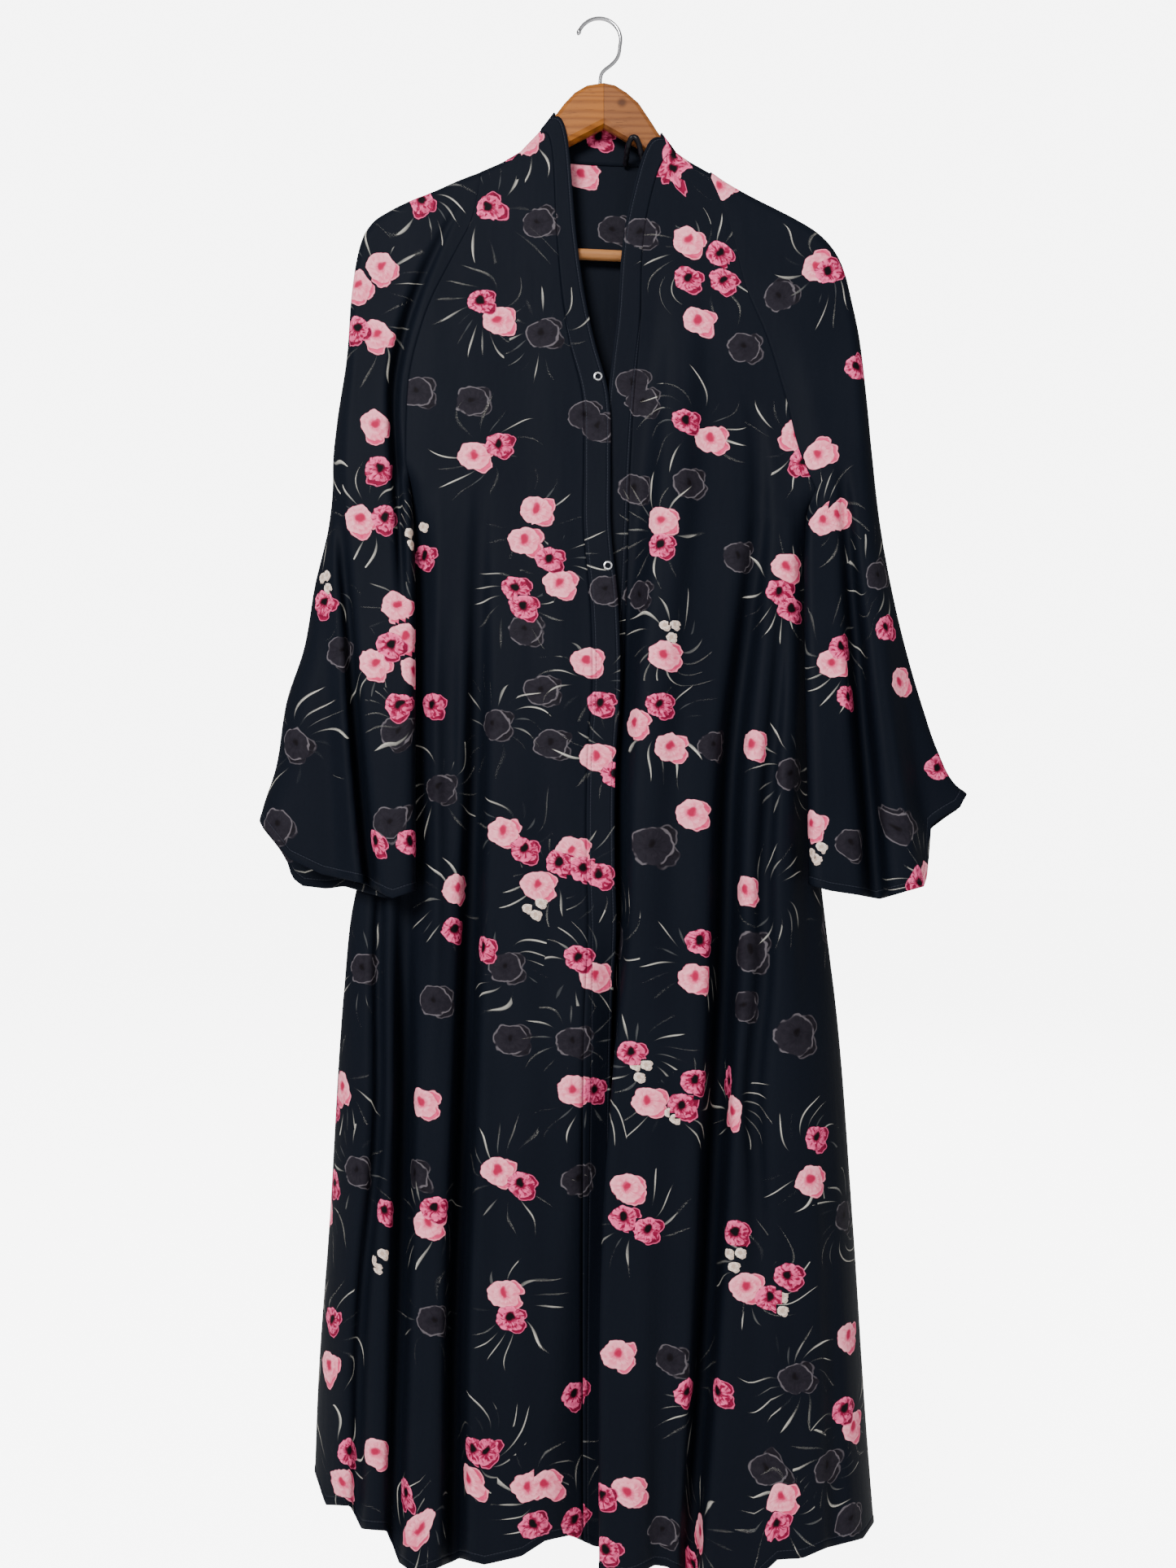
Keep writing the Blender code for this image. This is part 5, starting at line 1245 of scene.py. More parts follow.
        seed = (number * GOLDEN_SHARE) % 1.0 + (BLOSSOM_SEED if blossom else 0.0)
        stamped = np.concatenate((faces, np.full(faces.shape[:3] + (1,), seed)), axis=3)
        reached[wins] = stamped[wins]


# Shader node groups and finishes



@dataclass
class Wiring:
    """Short ways to add nodes to one tree."""

    tree: Tree

    def node(self, kind: str, **settings: object) -> Node:
        """Add a node with its settings."""
        made = self.tree.nodes.new(kind)
        for name, value in settings.items():
            setattr(made, name, value)
        return made

    def feed(self, socket: Socket, value: object) -> None:
        """Link a socket, or set its value."""
        if isinstance(value, Socket):
            self.tree.links.new(value, socket)
        elif value is not None:
            socket.default_value = value

    def math(self, operation: str, a: object, b: object = None, c: object = None,
             clamp: bool = False) -> Socket:
        """A Math node of one to three values."""
        made = self.node("ShaderNodeMath", operation=operation, use_clamp=clamp)
        for slot, value in zip(made.inputs, (a, b, c)):
            self.feed(slot, value)
        return made.outputs[0]

    def times(self, a: object, b: object) -> Socket:
        """The product of two values."""
        return self.math("MULTIPLY", a, b)

    def plus(self, a: object, b: object, clamp: bool = False) -> Socket:
        """The sum of two values."""
        return self.math("ADD", a, b, clamp=clamp)

    def minus(self, a: object, b: object) -> Socket:
        """The first value less the second."""
        return self.math("SUBTRACT", a, b)

    def vector(self, operation: str, a: object, b: object = None) -> Socket:
        """A Vector Math node that gives a vector."""
        made = self.node("ShaderNodeVectorMath", operation=operation)
        self.feed(made.inputs[0], a)
        self.feed(made.inputs[1], b)
        return made.outputs[0]

    def join(self, x: object, y: object, z: object = 0.0) -> Socket:
        """A vector from three values."""
        made = self.node("ShaderNodeCombineXYZ")
        for socket, value in zip(made.inputs, (x, y, z)):
            self.feed(socket, value)
        return made.outputs[0]

    def split(self, vector: Socket) -> list[Socket]:
        """The three values of a vector."""
        made = self.node("ShaderNodeSeparateXYZ")
        self.feed(made.inputs[0], vector)
        return list(made.outputs)

    def noise(self, vector: Socket, scale: float, detail: float = 2.0,
              roughness: float = 0.5) -> Socket:
        """Noise from 0 to 1."""
        made = self.node("ShaderNodeTexNoise")
        self.feed(made.inputs["Vector"], vector)
        made.inputs["Scale"].default_value = scale
        made.inputs["Detail"].default_value = detail
        made.inputs["Roughness"].default_value = roughness
        return made.outputs["Fac"]

    def rise(self, value: object, start: object, end: object) -> Socket:
        """Smooth rise from 0 at start to 1 at end."""
        made = self.node("ShaderNodeMapRange", interpolation_type="SMOOTHSTEP")
        for slot, item in zip(range(3), (value, start, end)):
            self.feed(made.inputs[slot], item)
        return made.outputs[0]

    def mix(self, share: object, a: object, b: object) -> Socket:
        """A mix of two colours."""
        made = self.node("ShaderNodeMix", data_type="RGBA")
        self.feed(made.inputs[0], share)
        for slot, item in ((6, a), (7, b)):
            self.feed(made.inputs[slot], (*item, 1.0) if isinstance(item, tuple) else item)
        return made.outputs[2]

    def bump(self, shader: Node, height: Socket, strength: float, distance: float
             ) -> None:
        """Raise a shader's surface by a height."""
        made = self.node("ShaderNodeBump")
        made.inputs["Strength"].default_value = strength
        made.inputs["Distance"].default_value = distance
        self.feed(made.inputs["Height"], height)
        self.feed(shader.inputs["Normal"], made.outputs["Normal"])

    def place(self, group: Tree, **values: object) -> Node:
        """Place a node group; underscores in the names stand for spaces."""
        made = self.node("ShaderNodeGroup", node_tree=group)
        for name, value in values.items():
            item = (*value, 1.0) if isinstance(value, tuple) and len(value) == 3 else value
            self.feed(made.inputs[name.replace("_", " ")], item)
        return made

    def mark(self, name: str) -> Socket:
        """The vector that a cut piece holds under that name."""
        return self.node("ShaderNodeAttribute", attribute_name=name).outputs["Vector"]


def new_group(name: str, inputs: dict[str, object], outputs: tuple[str, ...]
              ) -> tuple[Tree, Wiring, dict[str, Socket], Node]:
    """Start a node group.

    Args:
        name: The group's name.
        inputs: Each input's name with its starting value; None stands for a vector.
        outputs: The names of its outputs; Colour is a colour and the others are values.

    Returns:
        The group, its wiring, its inputs by name and its output node.
    """
    tree = bpy.data.node_groups.new(name, "ShaderNodeTree")
    for label, value in inputs.items():
        kind = ("NodeSocketVector" if value is None else
                "NodeSocketColor" if isinstance(value, tuple) else "NodeSocketFloat")
        made = tree.interface.new_socket(name=label, in_out="INPUT", socket_type=kind)
        if value is not None:
            made.default_value = (*value, 1.0) if isinstance(value, tuple) else value
    for label in outputs:
        kind = "NodeSocketColor" if label == "Colour" else "NodeSocketFloat"
        tree.interface.new_socket(name=label, in_out="OUTPUT", socket_type=kind)
    wiring = Wiring(tree)
    entry = wiring.node("NodeGroupInput")
    leave = wiring.node("NodeGroupOutput")
    return tree, wiring, {item.name: item for item in entry.outputs if item.name}, leave


FRONT_PETAL = ((0.0, 0.0, 0.0), 0.80)
SIDE_PETAL = ((0.40, 0.34, 0.0), 0.56)
LOW_PETAL = ((0.46, -0.36, 0.0), 0.47)
"""Middle and radius of each petal, in the flower's own radius."""


def new_material(name: str) -> tuple[Material, Wiring, Node]:
    """A new material with its wiring and its Principled shader."""
    material = bpy.data.materials.new(name)
    material.use_nodes = True
    return material, Wiring(material.node_tree), material.node_tree.nodes["Principled BSDF"]


@dataclass
class PrintGroups:
    """The node groups that paint flowers, leaves, stitches and the cloth's surface."""

    bloom: Tree = field(init=False)
    leaves: Tree = field(init=False)
    crepe: Tree = field(init=False)
    stitches: Tree = field(init=False)
    grain: Tree = field(init=False)

    def __post_init__(self) -> None:
        """Build every group once."""
        self.bloom = self.painted_bloom()
        self.leaves = self.brush_leaves()
        self.crepe = self.crepe_surface()
        self.stitches = self.stitch_line()
        self.grain = self.wood_grain()

    def painted_bloom(self) -> Tree:
        """An open flower in brush strokes: a front petal over two petals behind it."""
        tree, w, given, leave = new_group(
            "painted_bloom",
            {"Local": None, "Ruffle": 0.30, "Strokes": 0.5, "Heart Size": 0.2,
             "Front": (0.8, 0.3, 0.4), "Behind": (0.5, 0.05, 0.1), "Heart": (0.1, 0.01, 0.03)},
            ("Colour", "Mask", "Line"))
        x, y, seed = w.split(given["Local"])
        seed = w.math("FRACT", seed)
        turned = w.node("ShaderNodeVectorRotate", rotation_type="Z_AXIS")
        w.feed(turned.inputs["Vector"], w.join(x, y))
        w.feed(turned.inputs["Angle"], w.times(seed, math.tau))
        across, up, _ = w.split(turned.outputs[0])
        drawn = w.join(across, w.times(up, 1.16), w.times(seed, 31.0))
        wobble = w.node("ShaderNodeTexNoise")
        w.feed(wobble.inputs["Vector"], drawn)
        wobble.inputs["Scale"].default_value = 1.9
        wobble.inputs["Detail"].default_value = 1.6
        shift = w.vector("MULTIPLY", w.vector("SUBTRACT", wobble.outputs["Color"], (0.5, 0.5, 0.5)),
                         w.join(given["Ruffle"], given["Ruffle"]))
        flat = w.vector("ADD", w.vector("MULTIPLY", drawn, (1.0, 1.0, 0.0)), shift)
        front, front_edge, radius = self.petal(w, flat, *FRONT_PETAL)
        side, side_edge, _ = self.petal(w, flat, *SIDE_PETAL)
        low, low_edge, _ = self.petal(w, flat, *LOW_PETAL)
        around = w.vector("DIVIDE", flat, w.join(radius, radius, 1.0))
        curl = w.plus(w.times(radius, 1.3), w.times(seed, 17.0))
        streak = w.noise(w.vector("ADD", w.vector("MULTIPLY", around, (1.5, 1.5, 0.0)),
                                  w.join(0.0, 0.0, curl)), 2.3, 3.0, 0.6)
        rings = w.math("SINE", w.plus(w.times(radius, 19.0), w.times(streak, 7.0)))
        shade = w.times(w.rise(streak, 0.44, 0.62), given["Strokes"])
        shade = w.plus(shade, w.times(w.plus(rings, 1.0), 0.13))
        sunk = w.math("MULTIPLY_ADD", given["Strokes"], 0.45, 0.20)
        shade = w.plus(shade, w.times(w.rise(radius, 0.52, 0.16), sunk))
        leaning = w.rise(w.split(flat)[0], 0.10, 0.75)
        shade = w.plus(shade, w.times(leaning, 0.35), clamp=True)
        petal = w.mix(shade, given["Front"], given["Behind"])
        dark = w.mix(0.62, given["Behind"], given["Heart"])
        back_shade = w.math("MAXIMUM", w.rise(streak, 0.45, 0.60),
                            w.minus(1.0, w.rise(radius, 0.78, 0.90)))
        behind = w.mix(w.times(back_shade, 0.75), given["Behind"], dark)
        behind = w.mix(w.times(w.math("MAXIMUM", side_edge, low_edge), 0.55), behind,
                       given["Front"])
        colour = w.mix(front, behind, petal)
        apart = w.vector("ADD", flat, (0.02, 0.10, 0.0))
        apart = w.vector("MULTIPLY", apart, (1.0, 0.72, 0.0))
        measure = w.node("ShaderNodeVectorMath", operation="LENGTH")
        w.feed(measure.inputs[0], apart)
        inside = w.minus(given["Heart Size"], measure.outputs["Value"])
        heart = w.rise(inside, -0.025, 0.03)
        halo = w.rise(inside, -0.16, 0.0)
        colour = w.mix(w.times(halo, 0.35), colour, given["Behind"])
        heart_colour = w.mix(w.rise(inside, 0.03, 0.09), dark, given["Heart"])
        w.feed(leave.inputs["Colour"], w.mix(heart, colour, heart_colour))
        outside = w.minus(1.0, front)
        w.feed(leave.inputs["Mask"], w.math("MAXIMUM", front, w.math("MAXIMUM", side, low)))
        hidden = w.times(w.math("MAXIMUM", side_edge, low_edge), outside)
        line = w.math("MAXIMUM", front_edge, w.times(hidden, 0.5))
        broken = w.rise(wobble.outputs["Fac"], 0.36, 0.50)
        w.feed(leave.inputs["Line"], w.times(line, broken))
        return tree

    @staticmethod
    def petal(w: Wiring, place: Socket, centre: Point, size: float
              ) -> tuple[Socket, Socket, Socket]:
        """One round petal.

        Args:
            w: The wiring of the group it is drawn in.
            place: Where a point lies.
            centre: The petal's middle.
            size: Its radius.

        Returns:
            Its mask, its outline and the distance from its middle.
        """
        measure = w.node("ShaderNodeVectorMath", operation="DISTANCE")
        w.feed(measure.inputs[0], place)
        measure.inputs[1].default_value = centre
        distance = w.math("MAXIMUM", measure.outputs["Value"], 0.02)
        inside = w.minus(size, distance)
        outline = w.rise(w.math("ABSOLUTE", w.minus(inside, 0.035)), 0.050, 0.020)
        return w.rise(inside, -0.015, 0.025), outline, distance

    def brush_leaves(self) -> Tree:
        """Thin pointed leaves in single brush strokes, fanned out round a flower."""
        tree, w, given, leave = new_group(
            "brush_leaves", {"Local": None, "Leaves": 15.0, "Width": 0.032, "Missing": 0.52},
            ("Mask", "Shade"))
        x, y, seed = w.split(given["Local"])
        radius = w.math("SQRT", w.plus(w.times(x, x), w.times(y, y)))
        wander = w.noise(w.join(x, y, w.times(seed, 23.0)), 0.8, 0.0)
        lean = w.times(w.minus(seed, 0.5), 1.9)
        bend = w.math("MULTIPLY_ADD", lean, radius, w.times(w.minus(wander, 0.5), 1.3))
        angle = w.plus(w.math("ARCTAN2", y, x), bend)
        sector = w.plus(w.times(w.math("DIVIDE", angle, math.tau), given["Leaves"]),
                        w.times(seed, 9.0))
        whole = w.math("FLOOR", sector)
        wrapped = w.math("FLOORED_MODULO", whole, given["Leaves"])
        aside = w.minus(w.minus(sector, whole), 0.5)
        aside = w.math("DIVIDE", w.times(aside, w.times(radius, math.tau)), given["Leaves"])
        chance = w.node("ShaderNodeTexWhiteNoise", noise_dimensions="2D")
        w.feed(chance.inputs["Vector"], w.join(wrapped, seed))
        first, second, third = w.split(chance.outputs["Color"])
        start = w.plus(w.times(first, 0.26), 0.24)
        reach = w.plus(w.times(second, 0.62), 0.34)
        part = w.math("DIVIDE", w.minus(radius, start), reach, clamp=True)
        belly = w.math("SINE", w.times(w.math("POWER", part, 1.3), math.pi))
        slim = w.math("MULTIPLY_ADD", third, 0.7, 0.3)
        half = w.times(w.times(belly, given["Width"]), slim)
        body = w.rise(w.minus(half, w.math("ABSOLUTE", aside)), 0.0, 0.013)
        facing = w.math("COSINE", w.times(w.math("ARCTAN2", y, x), 2.0))
        scarce = w.math("MULTIPLY_ADD", facing, 0.32, given["Missing"])
        shown = w.math("GREATER_THAN", third, scarce)
        mask = w.times(w.times(body, shown), w.math("GREATER_THAN", belly, 0.02))
        w.feed(leave.inputs["Mask"], mask)
        lit = w.times(w.math("POWER", part, 1.2), w.rise(second, 0.15, 0.60))
        side = w.rise(aside, -0.02, 0.02)
        w.feed(leave.inputs["Shade"], w.times(lit, w.plus(w.times(side, 0.6), 0.4)))
        return tree

    def crepe_surface(self) -> Tree:
        """The fine pebbled surface of crepe, soft creases and a little unevenness of dye."""
        tree, w, given, leave = new_group(
            "crepe_surface", {"Place": None, "Pebble": 2600.0},
            ("Height", "Dye", "Sheen"))
        pebble = w.node("ShaderNodeTexNoise")
        w.feed(pebble.inputs["Vector"], given["Place"])
        w.feed(pebble.inputs["Scale"], given["Pebble"])
        pebble.inputs["Detail"].default_value = 2.0
        stretched = w.vector("MULTIPLY", given["Place"], (1.0, 1.0, 0.22))
        crease = w.noise(stretched, 34.0, 3.0, 0.55)
        crush = w.noise(given["Place"], 75.0, 2.0, 0.5)
        height = w.plus(w.times(pebble.outputs["Fac"], 0.05),
                        w.plus(w.times(crease, 0.75), w.times(crush, 0.18)))
        w.feed(leave.inputs["Height"], height)
        w.feed(leave.inputs["Dye"], w.noise(given["Place"], 9.0, 2.0))
        w.feed(leave.inputs["Sheen"], w.noise(stretched, 18.0, 2.0))
        return tree

    def stitch_line(self) -> Tree:
        """A row of machine stitches at one distance from an edge."""
        tree, w, given, leave = new_group(
            "stitch_line", {"From Edge": 0.0, "Along": 0.0, "Distance": 0.0075, "Pitch": 0.0030},
            ("Thread", "Dimple"))
        gap = w.math("ABSOLUTE", w.minus(given["From Edge"], given["Distance"]))
        phase = w.math("FRACT", w.math("DIVIDE", given["Along"], given["Pitch"]))
        dash = w.rise(w.math("ABSOLUTE", w.minus(phase, 0.5)), 0.42, 0.34)
        thread = w.times(w.rise(gap, 0.00042, 0.00022), dash)
        w.feed(leave.inputs["Thread"], thread)
        w.feed(leave.inputs["Dimple"], w.rise(gap, 0.0016, 0.0003))
        return tree

    def wood_grain(self) -> Tree:
        """Long wavy grain with short pores."""
        tree, w, given, leave = new_group(
            "wood_grain", {"Place": None, "Spacing": 0.006, "Wander": 0.7},
            ("Grain", "Pores", "Tone"))
        long = w.vector("MULTIPLY", given["Place"], (0.12, 1.0, 1.0))
        wander = w.noise(long, 30.0, 3.0)
        _, y, z = w.split(given["Place"])
        across = w.plus(w.math("DIVIDE", w.plus(z, w.times(y, 0.35)), given["Spacing"]),
                        w.times(w.times(wander, given["Wander"]), 6.0))
        band = w.math("MULTIPLY_ADD", w.math("SINE", w.times(across, math.tau)), 0.5, 0.5)
        w.feed(leave.inputs["Grain"], w.math("POWER", band, 1.7))
        w.feed(leave.inputs["Pores"], w.rise(w.noise(w.vector("MULTIPLY", given["Place"],
                                                              (0.09, 1.0, 1.0)), 900.0, 2.0), 0.60,
                                             0.72))
        w.feed(leave.inputs["Tone"], w.noise(given["Place"], 14.0, 2.0))
        return tree


@dataclass(frozen=True)
class PrintInks:
    """The colours of the print, as linear values."""

    ground: Colour = (0.0026, 0.0037, 0.0070)
    ground_pale: Colour = (0.0042, 0.0056, 0.0094)
    rose: Colour = (0.830, 0.330, 0.390)
    rose_deep: Colour = (0.600, 0.060, 0.150)
    rose_heart: Colour = (0.330, 0.012, 0.050)
    poppy: Colour = (0.780, 0.115, 0.260)
    poppy_deep: Colour = (0.190, 0.005, 0.032)
    poppy_heart: Colour = (0.004, 0.003, 0.004)
    blossom: Colour = (0.760, 0.640, 0.560)
    blossom_deep: Colour = (0.420, 0.300, 0.240)
    ghost: Colour = (0.0135, 0.0118, 0.0165)
    ghost_deep: Colour = (0.0085, 0.0075, 0.0110)
    ghost_line: Colour = (0.085, 0.075, 0.084)
    leaf: Colour = (0.780, 0.740, 0.640)
    leaf_dim: Colour = (0.035, 0.037, 0.040)
    thread: Colour = (0.020, 0.022, 0.030)


@dataclass(frozen=True)
class PrintedCrepe:
    """Navy crepe with its flower print, and stitches at an edge where it has them."""

    name: str
    inks: PrintInks
    stitch_axis: int
    stitch_places: tuple[float, ...]
    rough: float = 0.62
    sheen: float = 0.16
    specular: float = 0.035
    bump_strength: float = 0.55
    bump_height: float = 0.0022
    thread_share: float = 0.8
    dimple: float = 0.30

    def build(self, groups: PrintGroups) -> Material:
        """Make the material.

        Args:
            groups: The shared node groups.

        Returns:
            The material.
        """
        material, w, shader = new_material(self.name)
        inks = self.inks
        where = w.node("ShaderNodeTexCoord").outputs["Object"]
        surface = w.place(groups.crepe, Place=where)
        colour = w.mix(surface.outputs["Dye"], inks.ground, inks.ground_pale)
        ghost = w.place(groups.bloom, Local=w.mark(Bloom.GHOST.value), Ruffle=0.40, Strokes=0.5,
                        Heart_Size=0.13, Front=inks.ghost, Behind=inks.ghost_deep,
                        Heart=inks.poppy_heart)
        ghost_colour = w.mix(ghost.outputs["Line"], ghost.outputs["Colour"], inks.ghost_line)
        colour = w.mix(ghost.outputs["Mask"], colour, ghost_colour)
        spray = w.place(groups.leaves, Local=w.mark(Bloom.SPRAY.value))
        leaf = w.mix(spray.outputs["Shade"], inks.leaf_dim, inks.leaf)
        colour = w.mix(spray.outputs["Mask"], colour, leaf)
        rose = w.place(groups.bloom, Local=w.mark(Bloom.ROSE.value), Ruffle=0.42, Strokes=0.34,
                       Heart_Size=0.20, Front=inks.rose, Behind=inks.rose_deep,
                       Heart=inks.rose_heart)
        colour = w.mix(rose.outputs["Mask"], colour, rose.outputs["Colour"])
        local = w.mark(Bloom.POPPY.value)
        small = w.math("GREATER_THAN", w.split(local)[2], BLOSSOM_SEED - 0.5)
        near = w.math("LESS_THAN", w.split(local)[0], FAR_AWAY - 0.5)
        poppy = w.place(groups.bloom, Local=local, Ruffle=0.40, Strokes=0.80, Heart_Size=0.24,
                        Front=w.mix(small, inks.poppy, inks.blossom),
                        Behind=w.mix(small, inks.poppy_deep, inks.blossom_deep),
                        Heart=w.mix(small, inks.poppy_heart, inks.blossom_deep))
        shown = w.times(poppy.outputs["Mask"], near)
        colour = w.mix(shown, colour, poppy.outputs["Colour"])
        height = surface.outputs["Height"]
        measures = w.split(w.mark("cloth_place"))
        for place in self.stitch_places:
            row = w.place(groups.stitches, From_Edge=measures[self.stitch_axis],
                          Along=measures[1 if self.stitch_axis == 0 else 0], Distance=place)
            thread = w.times(row.outputs["Thread"], self.thread_share)
            colour = w.mix(thread, colour, inks.thread)
            dent = w.times(row.outputs["Dimple"], self.dimple)
            height = w.minus(height, dent)
        w.feed(shader.inputs["Base Color"], colour)
        rough = w.plus(w.times(surface.outputs["Sheen"], self.sheen), self.rough - self.sheen / 2)
        w.feed(shader.inputs["Roughness"], rough)
        shader.inputs["Specular IOR Level"].default_value = self.specular
        w.bump(shader, height, self.bump_strength, self.bump_height)
        return material


@dataclass(frozen=True)
class VarnishedWood:
    """Clear-varnished beech."""

    name: str
    pale: Colour
    dark: Colour
    knot: Point | None = None
    streaks: float = 0.45
    pores: float = 0.55
    pore_tone: float = 0.45
    knot_size: tuple[float, float] = (0.0065, 0.0015)
    knot_share: float = 0.8
    rough: tuple[float, float] = (0.14, 0.32)
    specular: float = 0.20
    coat: float = 0.06
    coat_rough: float = 0.18
    bump_strength: float = 0.12
    bump_height: float = 0.0004

    def build(self, groups: PrintGroups) -> Material:
        """Make the material.

        Args:
            groups: The shared node groups.

        Returns:
            The material.
        """
        material, w, shader = new_material(self.name)
        where = w.node("ShaderNodeTexCoord").outputs["Object"]
        grain = w.place(groups.grain, Place=where)
        share = w.plus(w.times(grain.outputs["Grain"], self.streaks),
                       w.times(grain.outputs["Tone"], self.streaks), clamp=True)
        colour = w.mix(share, self.pale, self.dark)
        darker = tuple(part * self.pore_tone for part in self.dark)
        colour = w.mix(w.times(grain.outputs["Pores"], self.pores), colour, darker)
        if self.knot is not None:
            apart = w.node("ShaderNodeVectorMath", operation="DISTANCE")
            w.feed(apart.inputs[0], where)
            apart.inputs[1].default_value = self.knot
            eye = w.rise(apart.outputs["Value"], *self.knot_size)
            colour = w.mix(w.times(eye, self.knot_share), colour, darker)
        w.feed(shader.inputs["Base Color"], colour)
        uneven, least = self.rough
        w.feed(shader.inputs["Roughness"], w.plus(w.times(grain.outputs["Tone"], uneven), least))
        shader.inputs["Specular IOR Level"].default_value = self.specular
        shader.inputs["Coat Weight"].default_value = self.coat
        shader.inputs["Coat Roughness"].default_value = self.coat_rough
        w.bump(shader, grain.outputs["Grain"], self.bump_strength, self.bump_height)
        return material


@dataclass(frozen=True)
class PlatedMetal:
    """Plated wire or steel with fine handling marks."""

    name: str
    colour: Colour
    rough: float
    smear_scale: float = 420.0
    smear: float = 0.14
    polish: float = 0.05

    def build(self) -> Material:
        """Make the material."""
        material, w, shader = new_material(self.name)
        where = w.node("ShaderNodeTexCoord").outputs["Object"]
        marks = w.noise(where, self.smear_scale, 3.0)
        shader.inputs["Base Color"].default_value = (*self.colour, 1.0)
        shader.inputs["Metallic"].default_value = 1.0
        w.feed(shader.inputs["Roughness"], w.plus(w.times(marks, self.smear),
                                                  self.rough - self.polish))
        return material


@dataclass(frozen=True)
class SatinCord:
    """The glossy self-cloth of the hanging loop."""

    name: str = "satin_loop"
    colour: Colour = (0.003, 0.003, 0.004)
    shine: Colour = (0.008, 0.007, 0.010)
    weave_scale: float = 1500.0
    rough: tuple[float, float] = (0.12, 0.22)
    specular: float = 0.09
    bump_strength: float = 0.3
    bump_height: float = 0.0003

    def build(self) -> Material:
        """Make the material."""
        material, w, shader = new_material(self.name)
        where = w.node("ShaderNodeTexCoord").outputs["Object"]
        weave = w.noise(where, self.weave_scale, 2.0)
        w.feed(shader.inputs["Base Color"], w.mix(weave, self.colour, self.shine))
        uneven, least = self.rough
        w.feed(shader.inputs["Roughness"], w.plus(w.times(weave, uneven), least))
        shader.inputs["Specular IOR Level"].default_value = self.specular
        w.bump(shader, weave, self.bump_strength, self.bump_height)
        return material


# The hook, the loop and the glue line

CORNER_CUT = (0.75, 0.25)
SMOOTHING_ROUNDS = 4
LEAST_CROSS = 0.2


@dataclass
class Hanger:
    """The wire hook, the hanging loop and the glue line in the mitre, modelled anew."""

    wire_radius: float = 0.00175
    hook_radius: float = 0.0206
    tip_angle: float = math.radians(166)
    tail_angle: float = math.radians(-15)
    neck: Table = ((0.0196, 0.0290), (0.0184, 0.0340), (0.0158, 0.0385), (0.0118, 0.0425),
                   (0.0074, 0.0458), (0.0038, 0.0487), (0.0018, 0.0524), (0.0011, 0.0568),
                   (0.0010, 0.0640), (0.0010, 0.0858))
    loop_line: tuple[Point, ...] = (
        (0.0255, 0.1330, 0.0100), (0.0262, 0.1290, 0.0020), (0.0272, 0.1235, -0.0075),
        (0.0302, 0.1175, -0.0112), (0.0345, 0.1170, -0.0114), (0.0378, 0.1235, -0.0108),
        (0.0400, 0.1310, -0.0050), (0.0445, 0.1385, 0.0010), (0.0505, 0.1435, 0.0050),
        (0.0560, 0.1480, 0.0074))
    loop_radius: float = 0.0026
    ball_shares: tuple[float, ...] = (0.55, 0.95, 1.2, 1.36, 1.3, 1.15, 1.04)
    bend_points: int = 90
    hook_points: int = 160
    hook_sides: int = 20
    loop_points: int = 90
    loop_sides: int = 14
    loop_ribs: tuple[float, float] = (0.06, 75.0)
    glue_half_width: float = 0.00013
    glue_half_depth: float = 0.0062
    glue_top_down: float = 0.0618
    glue_foot_down: float = 0.1018

    def hook(self) -> Piece:
        """The bent wire with the small ball at its tip."""
        centre_down = self.hook_radius - self.wire_radius
        angles = np.linspace(self.tip_angle, self.tail_angle, self.bend_points)
        line = [(self.hook_radius * math.cos(a), centre_down - self.hook_radius * math.sin(a))
                for a in angles] + list(self.neck)
        flat = np.array([(x, 0.0, -down) for x, down in line])
        points = smooth_line(flat, self.hook_points)
        thick = np.full(len(points), self.wire_radius)
        for index, share in enumerate(self.ball_shares):
            thick[index] = self.wire_radius * share
        return tube("hook_wire", points, thick, self.hook_sides)

    def loop(self) -> Piece:
        """The cord of self-cloth behind the neck."""
        x, down, y = smooth_line(np.array(self.loop_line), self.loop_points).T
        points = in_space(x, down, y)
        height, turn = self.loop_ribs
        thick = self.loop_radius * (1 + height * np.sin(np.linspace(0, turn, len(points))))
        return tube("neck_loop", points, thick, self.loop_sides)

    def glue(self) -> Piece:
        """The thin dark line of glue in the mitre, a little short of the wood's surface."""
        top, foot = -self.glue_top_down, -self.glue_foot_down
        mesh = bpy.data.meshes.new("mitre_glue")
        shape = bmesh.new()
        bmesh.ops.create_cube(shape, size=2.0)
        for vert in shape.verts:
            vert.co = (MITRE_X + self.glue_half_width * vert.co.x,
                       self.glue_half_depth * vert.co.y,
                       (top + foot) / 2 + (top - foot) / 2 * vert.co.z)
        bmesh.ops.bevel(shape, geom=list(shape.edges), offset=self.glue_half_width / 2,
                        segments=2, affect="EDGES", profile=0.5)
        shape.to_mesh(mesh)
        shape.free()
        return put_in_scene("mitre_glue", mesh)


def smooth_line(points: Array, count: int) -> Array:
    """Even points on a smooth line near the given ones.

    Args:
        points: Rows of three values.
        count: How many points to give back.

    Returns:
        The new rows.
    """
    near, far = CORNER_CUT
    for _ in range(SMOOTHING_ROUNDS):
        ahead = near * points[:-1] + far * points[1:]
        behind = far * points[:-1] + near * points[1:]
        between = np.stack((ahead, behind), axis=1).reshape(-1, 3)
        points = np.vstack((points[:1], between, points[-1:]))
    steps = np.concatenate(([0.0], np.cumsum(np.linalg.norm(np.diff(points, axis=0), axis=1))))
    even = np.linspace(0, steps[-1], count)
    return np.column_stack([np.interp(even, steps, column) for column in points.T])


